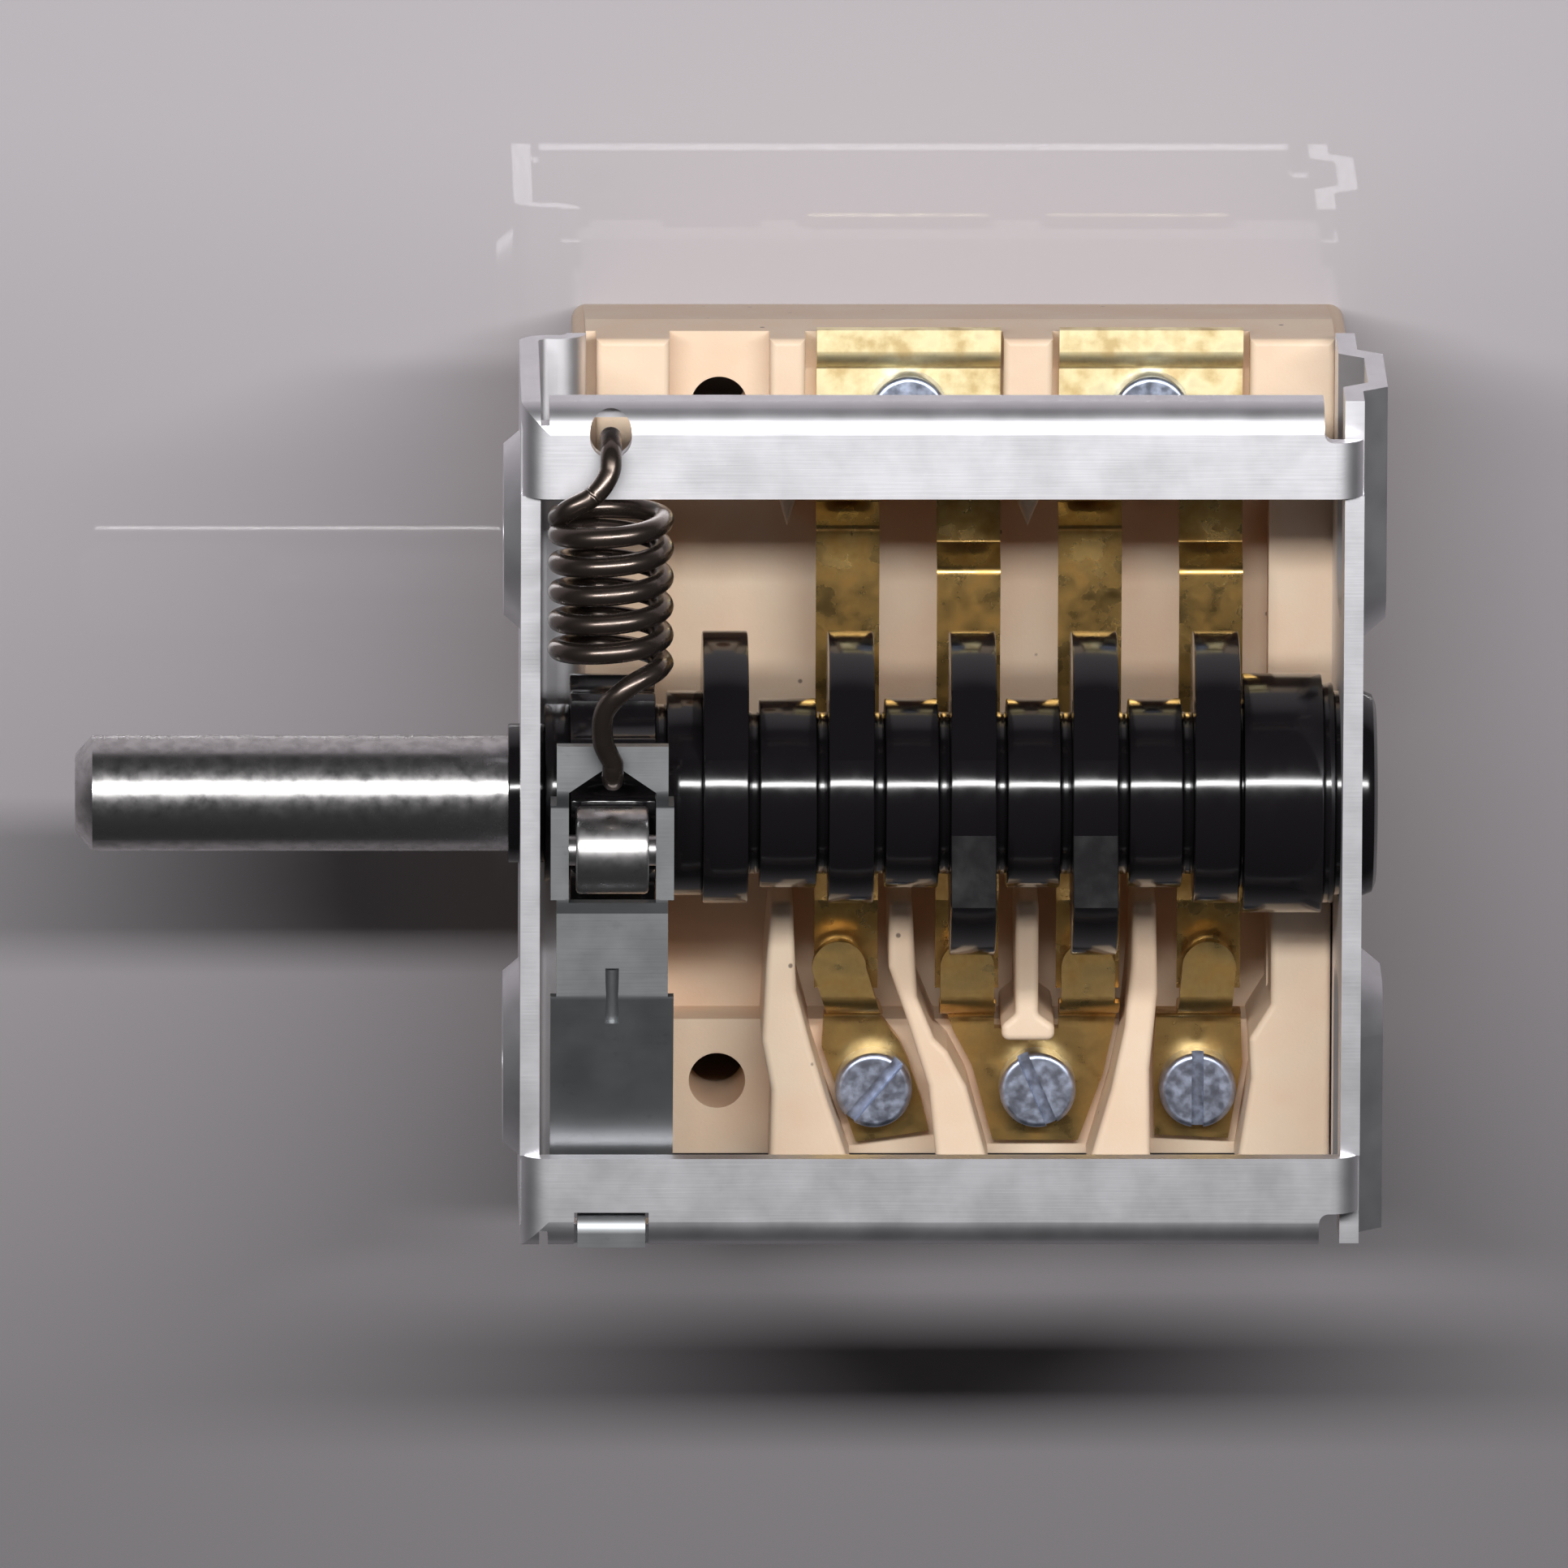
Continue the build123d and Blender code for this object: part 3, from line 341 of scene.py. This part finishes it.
def plated_sheet(name, colour, roughness, stain=0.5):
    """Plated sheet steel: cloudy roughness, faint rolling lines along X, dull stains and fine grain."""
    material, tree, shader = blank(name, colour, 1.0, roughness)
    cloud = noise(tree, 2.4, detail=4)
    rolling = noise(tree, 0.12, stretch=(40, 1, 1), detail=2)
    spots = noise(tree, 0.9, stretch=(1.6, 1, 1), detail=6, roughness=0.7)
    share = remap(tree, spots, 0.60, 0.75, 0.0, stain)
    cloudy = mix_colour(
        tree, remap(tree, cloud, 0.35, 0.65, 0, 1), darker(colour, 0.96), darker(colour, 1.03)
    )
    tinted = mix_colour(tree, share, cloudy, darker(colour, 0.55))
    tree.links.new(tinted, shader.inputs["Base Color"])
    tree.links.new(
        remap(tree, cloud, 0.3, 0.7, roughness - 0.02, roughness + 0.02), shader.inputs["Roughness"]
    )
    bump(tree, shader, rolling, 0.004, 0.5)
    return material


def ground_steel(name, colour, roughness=0.24):
    """Ground round steel: fine rings about X and a slight mottling."""
    material, tree, shader = blank(name, colour, 1.0, roughness)
    rings = noise(tree, 0.1, stretch=(1, 20, 20), detail=2)
    mottle = noise(tree, 0.7, detail=5)
    shade = mix_colour(tree, remap(tree, mottle, 0.4, 0.68, 0, 1), colour, darker(colour, 0.72))
    tree.links.new(shade, shader.inputs["Base Color"])
    tree.links.new(
        remap(tree, mottle, 0.3, 0.7, roughness - 0.04, roughness + 0.08), shader.inputs["Roughness"]
    )
    bump(tree, shader, rings, 0.003, 0.6)
    return material


def oiled_wire(colour):
    """Dark spring wire under a film of oil, with warm patches."""
    material, tree, shader = blank("oiled_wire", colour, 0.9, 0.26)
    patches = noise(tree, 1.1, detail=5)
    film = (0.09, 0.07, 0.06)
    tint = mix_colour(tree, remap(tree, patches, 0.35, 0.7, 0, 1), colour, film)
    tree.links.new(tint, shader.inputs["Base Color"])
    tree.links.new(remap(tree, patches, 0.3, 0.7, 0.2, 0.36), shader.inputs["Roughness"])
    shader.inputs["Coat Weight"].default_value = 0.25
    shader.inputs["Coat Roughness"].default_value = 0.18
    bump(tree, shader, noise(tree, 0.25, detail=4), 0.01, 0.35)
    return material


def steatite(colour):
    """Unglazed pressed ceramic: cream, a little pinker in clouds, with a few fine dark specks."""
    material, tree, shader = blank("steatite", colour, 0.0, 0.5)
    cloud = noise(tree, 5.0, detail=3)
    grain = noise(tree, 0.18, detail=4)
    pink = (colour[0] * 0.97, colour[1] * 0.90, colour[2] * 0.86)
    body = mix_colour(tree, remap(tree, cloud, 0.35, 0.65, 0, 1), colour, pink)
    coordinates = tree.nodes.new("ShaderNodeTexCoord")
    cells = tree.nodes.new("ShaderNodeTexVoronoi")
    cells.inputs["Scale"].default_value = 1 / (2.6 * MM)
    tree.links.new(coordinates.outputs["Object"], cells.inputs["Vector"])
    speck = remap(tree, cells.outputs["Distance"], 0.035, 0.06, 0.75, 0.0)
    speck_colour = (0.10, 0.06, 0.05)
    speckled = mix_colour(tree, speck, body, speck_colour)
    tree.links.new(speckled, shader.inputs["Base Color"])
    tree.links.new(remap(tree, grain, 0.3, 0.7, 0.42, 0.58), shader.inputs["Roughness"])
    shader.inputs["Subsurface Weight"].default_value = 0.12
    shader.inputs["Subsurface Radius"].default_value = (0.0012, 0.0008, 0.0005)
    shader.inputs["Subsurface Scale"].default_value = 1.0
    bump(tree, shader, grain, 0.02, 0.4)
    return material


def phenolic(colour):
    """Moulded near-black plastic: glossy, with fine turned lines and a few dull smudges."""
    material, tree, shader = blank("phenolic", colour, 0.0, 0.16)
    lines = noise(tree, 0.06, stretch=(1, 12, 12), detail=2)
    patches = noise(tree, 1.4, detail=5)
    tree.links.new(remap(tree, patches, 0.4, 0.75, 0.12, 0.17), shader.inputs["Roughness"])
    shader.inputs["Specular IOR Level"].default_value = 0.5
    bump(tree, shader, lines, 0.003, 0.3)
    return material


def pressed_brass(name, colour, roughness=0.3):
    """Bare brass sheet: rolling lines along Y, brown tarnish in clouds and bright rubbed places."""
    material, tree, shader = blank(name, colour, 1.0, roughness)
    tarnish = noise(tree, 1.3, detail=5)
    rolling = noise(tree, 0.09, stretch=(1, 25, 1), detail=2)
    brown = (colour[0] * 0.62, colour[1] * 0.52, colour[2] * 0.4)
    tint = mix_colour(tree, remap(tree, tarnish, 0.42, 0.68, 0, 0.8), colour, brown)
    tree.links.new(tint, shader.inputs["Base Color"])
    tree.links.new(
        remap(tree, tarnish, 0.3, 0.7, roughness - 0.06, roughness + 0.14), shader.inputs["Roughness"]
    )
    bump(tree, shader, rolling, 0.005, 0.6)
    return material


def screw_plating(colour):
    """Bluish zinc on a screw head, with scuffs."""
    material, tree, shader = blank("screw_plating", colour, 1.0, 0.38)
    scuffs = noise(tree, 0.5, detail=4)
    tint = mix_colour(tree, remap(tree, scuffs, 0.4, 0.7, 0, 1), colour, darker(colour, 1.35))
    tree.links.new(tint, shader.inputs["Base Color"])
    tree.links.new(remap(tree, scuffs, 0.3, 0.7, 0.3, 0.48), shader.inputs["Roughness"])
    bump(tree, shader, scuffs, 0.004, 0.4)
    return material


def dress(node, material):
    """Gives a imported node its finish."""
    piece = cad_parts[node]
    piece.data.materials.clear()
    piece.data.materials.append(material)
    return piece


def soften(piece, width):
    """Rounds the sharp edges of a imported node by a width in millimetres."""
    bevel = piece.modifiers.new("soft_edges", "BEVEL")
    bevel.width = width * MM
    bevel.segments = 2
    bevel.limit_method = "ANGLE"
    bevel.angle_limit = math.radians(50)
    bevel.harden_normals = True


# Pieces


def ring_of_angles(step=1.0):
    """Angles round the axis, in radians."""
    return np.radians(np.arange(0, 360, step))


def cam_radius(lobes, angles, base=5.7, lobe=8.4, ramp=22.0):
    """A cam's radius at each angle: the base circle, the lobe circle over each span, and straight flanks.

    A flank is the line between the lobe's end and the base circle one ramp away, so its radius at an angle
    is the cross product of its ends over the cross product of the direction with its step.
    """
    degrees = np.degrees(angles)
    radius = np.full(angles.shape, base)
    for start, end in lobes:
        past = (degrees - start) % 360
        radius = np.where(past <= end - start, lobe, radius)
        for edge, foot in ((end, end + ramp), (start, start - ramp)):
            top = lobe * np.array([math.sin(math.radians(edge)), math.cos(math.radians(edge))])
            low = base * np.array([math.sin(math.radians(foot)), math.cos(math.radians(foot))])
            step = low - top
            ends = top[0] * low[1] - top[1] * low[0]
            flank = ends / (np.sin(angles) * step[1] - np.cos(angles) * step[0])
            beside = (degrees - min(edge, foot)) % 360
            radius = np.where(beside < ramp, flank, radius)
    return radius


def star_radius(angles, outer=6.2, notches=12, roller=2.3, roller_y=-1.2, roller_z=7.9):
    """The star wheel's radius: its rim, or the near side of the roller's circle where that is smaller."""
    reach = math.hypot(roller_y, roller_z)
    first = math.atan2(roller_y, roller_z)
    pitch = 2 * math.pi / notches
    off = (angles - first + pitch / 2) % pitch - pitch / 2
    inside = np.maximum(roller**2 - (reach * np.sin(off)) ** 2, 0)
    notch = reach * np.cos(off) - np.sqrt(inside)
    return np.where(inside > 0, np.minimum(outer, notch), outer)


def cam_shaft_stations(angles, edge):
    """Stations of the moulded cam shaft: each piece's ends are drawn in by the edge's rounding."""
    journal, neck, collar, hub, groove = 3.6, 4.6, 5.3, 4.9, 4.2
    rear_hub, rear_collar, rear_journal = 6.2, 5.7, 5.3
    front, tip, groove_width, tip_round = -0.6, 44.3, 0.6, 0.6
    pieces = [
        (front, 1.3, journal),
        (1.3, 2.6, neck),
        (2.6, 7.0, star_radius(angles)),
        (7.0, 7.6, neck),
        (7.6, CAM_STARTS[0], collar),
    ]
    cams = [cam_radius(lobes, angles) for lobes in CAM_LOBES]
    for number, start in enumerate(CAM_STARTS):
        end = start + CAM_WIDTH
        pieces.append((start, end, cams[number]))
        if number < 4:
            after = CAM_STARTS[number + 1]
            pieces.append((end, end + groove_width, groove))
            pieces.append((end + groove_width, after - groove_width, hub))
            pieces.append((after - groove_width, after, groove))
    rear = CAM_STARTS[-1] + CAM_WIDTH
    pieces += [
        (rear, rear + 0.2, hub),
        (rear + 0.2, 41.5, rear_hub),
        (41.5, 42.1, rear_collar),
        (42.1, tip, rear_journal),
    ]
    stations = [(front, np.zeros(angles.shape))]
    for start, end, radius in pieces:
        round_over = edge if end - start > 3 * edge else 0.02
        if end == tip:
            round_over = tip_round
        stations.append((start, radius - edge))
        stations.append((start + 0.3 * edge, radius - 0.3 * edge))
        stations.append((start + edge, radius))
        stations.append((end - round_over, radius))
        stations.append((end - 0.3 * round_over, radius - 0.3 * round_over))
        stations.append((end, radius - round_over))
    stations.append((tip, np.zeros(angles.shape)))
    return stations


class SWITCH_OT_frame(bpy.types.Operator):
    """Give the folded frame its zinc plating and soft cut edges"""

    bl_idname = "switch.frame"
    bl_label = "Frame"

    def execute(self, context):
        scene = context.scene
        colours, sizes = scene.switch_colours, scene.switch_sizes
        zinc = plated_sheet("zinc_plating", colours.zinc, 0.47, stain=0.12)
        soften(dress("frame", zinc), sizes.sheet_edge)
        return {"FINISHED"}


class SWITCH_OT_ceramic(bpy.types.Operator):
    """Give the ceramic base its cream, finely specked body"""

    bl_idname = "switch.ceramic"
    bl_label = "Ceramic base"

    def execute(self, context):
        scene = context.scene
        dress("ceramic_base", steatite(scene.switch_colours.ceramic))
        return {"FINISHED"}


class SWITCH_OT_cam_shaft(bpy.types.Operator):
    """Turn the cam shaft with its star wheel and five cams"""

    bl_idname = "switch.cam_shaft"
    bl_label = "Cam shaft"

    def execute(self, context):
        scene = context.scene
        angles = ring_of_angles(1.0)
        stations = cam_shaft_stations(angles, scene.switch_sizes.cam_edge)
        points = turned(stations, angles)
        faces = grid_faces(len(stations), len(angles), wrap=True)
        mesh = finish_mesh("cam_shaft_moulding", points.reshape(-1, 3), faces, 25)
        plastic = phenolic(scene.switch_colours.phenolic)
        place("cam_shaft_moulding", mesh, plastic, "cam_shaft", ["camshaft"])
        return {"FINISHED"}


class SWITCH_OT_spindle(bpy.types.Operator):
    """Turn the ground spindle with its flat and rounded tip"""

    bl_idname = "switch.spindle"
    bl_label = "Spindle"

    def execute(self, context):
        scene = context.scene
        angles = ring_of_angles(2.0)
        radius, tip_radius, inner_radius, flat = 3.0, 2.1, 2.7, 1.6
        tip, chamfer, flat_end, shoulder, inner_end = -23.0, 0.9, -13.0, -0.6, 12.0
        # The flat lies at its distance below the axis, so its radius is that over minus the cosine
        flat_radius = flat / np.maximum(-np.cos(angles), 1e-3)
        below = np.cos(angles) < 0
        flattened = np.where(below, np.minimum(radius, flat_radius), radius)
        tip_flat = np.where(below, np.minimum(tip_radius, flat_radius), tip_radius)
        stations = [
            (tip, 0.0),
            (tip, tip_flat - 0.15),
            (tip + 0.08, tip_flat),
            (tip + chamfer, flattened),
            (tip + chamfer + 0.1, flattened),
            (flat_end, flattened),
            (flat_end, radius),
            (shoulder, radius),
            (shoulder, inner_radius),
            (inner_end, inner_radius),
            (inner_end, 0.0),
        ]
        points = turned(stations, angles)
        faces = grid_faces(len(stations), len(angles), wrap=True)
        mesh = finish_mesh("ground_spindle", points.reshape(-1, 3), faces, 25)
        steel = ground_steel("ground_steel", scene.switch_colours.steel)
        place("ground_spindle", mesh, steel, "cam_shaft", ["spindle"])
        return {"FINISHED"}


class SWITCH_OT_detent(bpy.types.Operator):
    """Turn the detent's roller and finish its pin and lever"""

    bl_idname = "switch.detent"
    bl_label = "Detent lever and roller"

    def execute(self, context):
        scene = context.scene
        colours = scene.switch_colours
        steel = ground_steel("roller_steel", colours.steel, 0.28)
        dress("roller_pin", steel)
        plating = plated_sheet("lever_plating", colours.lever, 0.45, stain=0.35)
        soften(dress("detent_lever", plating), scene.switch_sizes.sheet_edge)
        angles = ring_of_angles(3.0)
        middle, half, radius, bore = 4.725, 1.875, 2.25, 0.87
        edge, corner = 0.2, 0.06
        axis = (-1.2, 7.9)
        profile = [
            (-half, bore),
            (-half, radius - edge),
            (-half + corner, radius - corner),
            (-half + edge, radius),
            (half - edge, radius),
            (half - corner, radius - corner),
            (half, radius - edge),
            (half, bore),
            (-half, bore),
        ]
        stations = [(middle + x, r) for x, r in profile]
        points = turned(stations, angles, centre=axis)
        faces = grid_faces(len(stations), len(angles), wrap=True)
        mesh = finish_mesh("star_roller", points.reshape(-1, 3), faces)
        place("star_roller", mesh, steel, "roller", ["detent_roller"])
        return {"FINISHED"}


def spring_path():
    """The line of the spring's wire and, for each point, the direction its section is squared to.

    The hook round the lever is a half circle, the coil is a helix about an axis along Y, and smooth cubics
    join them to each other and to the hook over the frame's bar.
    """
    lever_x, coil_x, axis_z, radius = 4.725, 4.6, 9.2, 2.7
    hook_y, hook_z, hook_radius = 3.9, 8.975, 1.125
    first_y, pitch, turns = 8.97, 1.52, 5
    half_turn = np.linspace(-math.pi / 2, -3 * math.pi / 2, 24)
    hook = np.stack(
        [
            np.full(24, lever_x),
            hook_y + hook_radius * np.cos(half_turn),
            hook_z + hook_radius * np.sin(half_turn),
        ],
        axis=1,
    )
    helix_turn = np.linspace(0, 2 * math.pi * turns, 48 * turns + 1)
    helix = np.stack(
        [
            coil_x + radius * np.cos(helix_turn),
            first_y + pitch * helix_turn / (2 * math.pi),
            axis_z - radius * np.sin(helix_turn),
        ],
        axis=1,
    )
    last = np.linspace(0, math.pi, 25)[1:]
    end_y = first_y + pitch * turns
    closed = np.stack(
        [
            coil_x + radius * np.cos(last),
            end_y + 0.05 * last / math.pi,
            axis_z - radius * np.sin(last),
        ],
        axis=1,
    )
    to_coil = [(4.2, 5.2, 10.6), (4.32, 6.9, 11.15), (5.41, 8.15, 11.47), (6.85, 8.85, 10.7)]
    to_bar = [
        (2.5, 17.3, 10.1), (3.75, 18.05, 10.15), (4.5, 19.1, 9.8), (4.6, 20.05, 9.2), (4.6, 20.5, 7.3),
    ]
    lower = through([hook[-1], *to_coil, helix[0]], 14)
    upper = through([closed[-1], *to_bar], 14)
    path = np.concatenate([hook[:-1], lower[:-1], helix, closed, upper[1:]])
    across = np.zeros(path.shape)
    coil_share = np.clip((path[:, 1] - 6.6) / 2.4, 0, 1) * np.clip((18.6 - path[:, 1]) / 1.4, 0, 1)
    across[:, 0] = 1 - coil_share
    across[:, 1] = coil_share
    return path, across


class SWITCH_OT_spring(bpy.types.Operator):
    """Wind the detent spring from the lever to the hole in the frame's bar"""

    bl_idname = "switch.spring"
    bl_label = "Detent spring"

    def execute(self, context):
        scene = context.scene
        path, across = spring_path()
        around = np.linspace(0, 2 * math.pi, 20, endpoint=False)
        wire = scene.switch_sizes.wire / 2
        shrink = np.ones(len(path) + 2)
        shrink[[0, -1]] = 0
        path = np.concatenate([path[:1], path, path[-1:]])
        across = np.concatenate([across[:1], across, across[-1:]])
        along = np.gradient(path, axis=0)
        along[0], along[-1] = along[1], along[-2]
        along = unit(along)
        u_axis = unit(across - np.sum(across * along, axis=1, keepdims=True) * along)
        v_axis = np.cross(along, u_axis)
        reach = wire * shrink[:, None, None]
        points = path[:, None] + reach * (
            u_axis[:, None] * np.cos(around)[None, :, None]
            + v_axis[:, None] * np.sin(around)[None, :, None]
        )
        faces = grid_faces(len(path), len(around), wrap=True)
        mesh = finish_mesh("wound_spring", points.reshape(-1, 3), faces, 50)
        steel = oiled_wire(scene.switch_colours.spring)
        piece = place("wound_spring", mesh, steel, None, ["detent_spring"])
        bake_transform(piece)
        return {"FINISHED"}


class SWITCH_OT_terminals(bpy.types.Operator):
    """Give the terminals and rivets their brass and the screws their zinc"""

    bl_idname = "switch.terminals"
    bl_label = "Terminals and screws"

    def execute(self, context):
        scene = context.scene
        colours = scene.switch_colours
        brass = pressed_brass("terminal_brass", colours.brass)
        for node in ("south_terminal_left", "south_terminal_middle", "south_terminal_right",
                     *[f"strip_rivet_{n + 1}" for n in CIRCUITS]):
            dress(node, brass)
        # Painted light: the north terminals get a brighter copy of the brass, standing for the lamp's light
        # on their lips.
        lit_brass_finish = pressed_brass("brass_painted_lit", colours.brass_painted_lit, 0.5)
        for node in ("north_terminal_1", "north_terminal_2"):
            soften(dress(node, lit_brass_finish), scene.switch_sizes.sheet_edge)
        plating = screw_plating(colours.screw)
        for node in ("north_screw_1", "north_screw_2", "south_screw_left", "south_screw_middle",
                     "south_screw_right"):
            soften(dress(node, plating), scene.switch_sizes.screw_edge)
        return {"FINISHED"}


class SWITCH_OT_contacts(bpy.types.Operator):
    """Give the contact springs their bronze and the contacts their silver"""

    bl_idname = "switch.contacts"
    bl_label = "Contact springs"

    def execute(self, context):
        scene = context.scene
        colours = scene.switch_colours
        bronze = pressed_brass("strip_bronze", colours.bronze, 0.26)
        silver = pressed_brass("contact_silver", colours.silver, 0.35)
        for n in CIRCUITS:
            dress(f"fixed_contact_{n + 1}", silver)
            dress(f"moving_contact_{n + 1}", silver)
            dress(f"contact_spring_{n + 1}", bronze)
        return {"FINISHED"}


# Studio


def look_from(camera, target, back, up, distance):
    """Stands the camera at a distance from the target along back, with its picture's up direction given."""
    right = np.cross(up, back)
    place_at = target + back * distance
    camera.matrix_world = Matrix(
        [[right[i], up[i], back[i], place_at[i]] for i in range(3)] + [[0, 0, 0, 1]]
    )


class SWITCH_OT_stage(bpy.types.Operator):
    """Set the floor, its colour painted darker towards the south, the lamps and the camera"""

    bl_idname = "switch.stage"
    bl_label = "Studio"

    def execute(self, context):
        scene = context.scene
        studio, colours = scene.switch_studio, scene.switch_colours
        low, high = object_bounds()
        half, z = 3.0, low.z
        floor_mesh = bpy.data.meshes.new("floor")
        corners = [(-half, -half, z), (half, -half, z), (half, half, z), (-half, half, z)]
        floor_mesh.from_pydata(corners, [], [(0, 1, 2, 3)])
        floor = bpy.data.objects.new("floor", floor_mesh)
        scene.collection.objects.link(floor)
        material, tree, shader = blank("floor_painted_shade", colours.floor, 0.0, 0.6)
        coordinates = tree.nodes.new("ShaderNodeTexCoord")
        split = tree.nodes.new("ShaderNodeSeparateXYZ")
        tree.links.new(coordinates.outputs["Object"], split.inputs["Vector"])
        # Painted shade: the floor's colour darkens to about half from 3 cm north to 4 cm south of the
        # switch, standing for the fall-off of the near lamp's light.
        share = remap(tree, split.outputs["Y"], 0.03, -0.04, 0, 1)
        tint = mix_colour(tree, share, colours.floor, darker(colours.floor, 0.52))
        tree.links.new(tint, shader.inputs["Base Color"])
        shader.inputs["Coat Weight"].default_value = 1.0
        shader.inputs["Coat Roughness"].default_value = 0.02
        floor_mesh.materials.append(material)
        floor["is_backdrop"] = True

        target = np.array([0.0137, 0.00047, 0.0])
        lamp_data = bpy.data.lights.new("key", "AREA")
        lamp_data.shape = "RECTANGLE"
        lamp_data.size = 0.35
        lamp_data.size_y = 0.02
        lamp_data.energy = studio.key_power
        key = bpy.data.objects.new("key", lamp_data)
        scene.collection.objects.link(key)
        back = np.array([0.0, math.sin(studio.key_tilt), math.cos(studio.key_tilt)])
        up = np.array([0.0, math.cos(studio.key_tilt), -math.sin(studio.key_tilt)])
        look_from(key, target, back, up, studio.key_distance)

        world = bpy.data.worlds.new("even_light")
        world.use_nodes = True
        background = world.node_tree.nodes["Background"]
        background.inputs["Color"].default_value = (0.95, 0.97, 1.0, 1)
        background.inputs["Strength"].default_value = studio.fill_level
        scene.world = world

        camera_data = bpy.data.cameras.new("camera")
        camera_data.lens = 800
        camera_data.sensor_width = 36
        camera_data.clip_end = 20
        camera = bpy.data.objects.new("camera", camera_data)
        scene.collection.objects.link(camera)
        lean = math.radians(13)
        back = unit(np.array([-0.016, math.sin(lean), math.cos(lean)]))
        up = unit(np.array([0.0, back[2], -back[1]]))
        look_from(camera, target, back, up, studio.distance)
        scene.camera = camera
        scene.view_settings.view_transform = "Standard"
        return {"FINISHED"}


class SWITCH_PT_panel(bpy.types.Panel):
    """The switch's pieces in the sidebar"""

    bl_idname = "SWITCH_PT_panel"
    bl_label = "Step switch"
    bl_space_type = "VIEW_3D"
    bl_region_type = "UI"
    bl_category = "Step switch"

    def draw(self, context):
        for operator in OPERATORS:
            self.layout.operator(operator.bl_idname)
        scene = context.scene
        for group in (scene.switch_colours, scene.switch_sizes, scene.switch_studio):
            for name in group.__annotations__:
                self.layout.prop(group, name)


OPERATORS = [
    SWITCH_OT_frame,
    SWITCH_OT_ceramic,
    SWITCH_OT_cam_shaft,
    SWITCH_OT_spindle,
    SWITCH_OT_detent,
    SWITCH_OT_spring,
    SWITCH_OT_terminals,
    SWITCH_OT_contacts,
    SWITCH_OT_stage,
]
GROUPS = {
    "switch_colours": SwitchColours,
    "switch_sizes": SwitchSizes,
    "switch_studio": SwitchStudio,
}


def register():
    """Registers the property groups, operators and panel."""
    for name, group in GROUPS.items():
        bpy.utils.register_class(group)
        setattr(bpy.types.Scene, name, bpy.props.PointerProperty(type=group))
    for cls in (*OPERATORS, SWITCH_PT_panel):
        bpy.utils.register_class(cls)


def unregister():
    """Takes everything back out."""
    for cls in (SWITCH_PT_panel, *reversed(OPERATORS)):
        bpy.utils.unregister_class(cls)
    for name, group in GROUPS.items():
        delattr(bpy.types.Scene, name)
        bpy.utils.unregister_class(group)


def main():
    """Builds the whole scene."""
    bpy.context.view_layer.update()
    register()
    for operator in OPERATORS:
        group, name = operator.bl_idname.split(".")
        getattr(getattr(bpy.ops, group), name)()


if __name__ == "__main__":
    main()
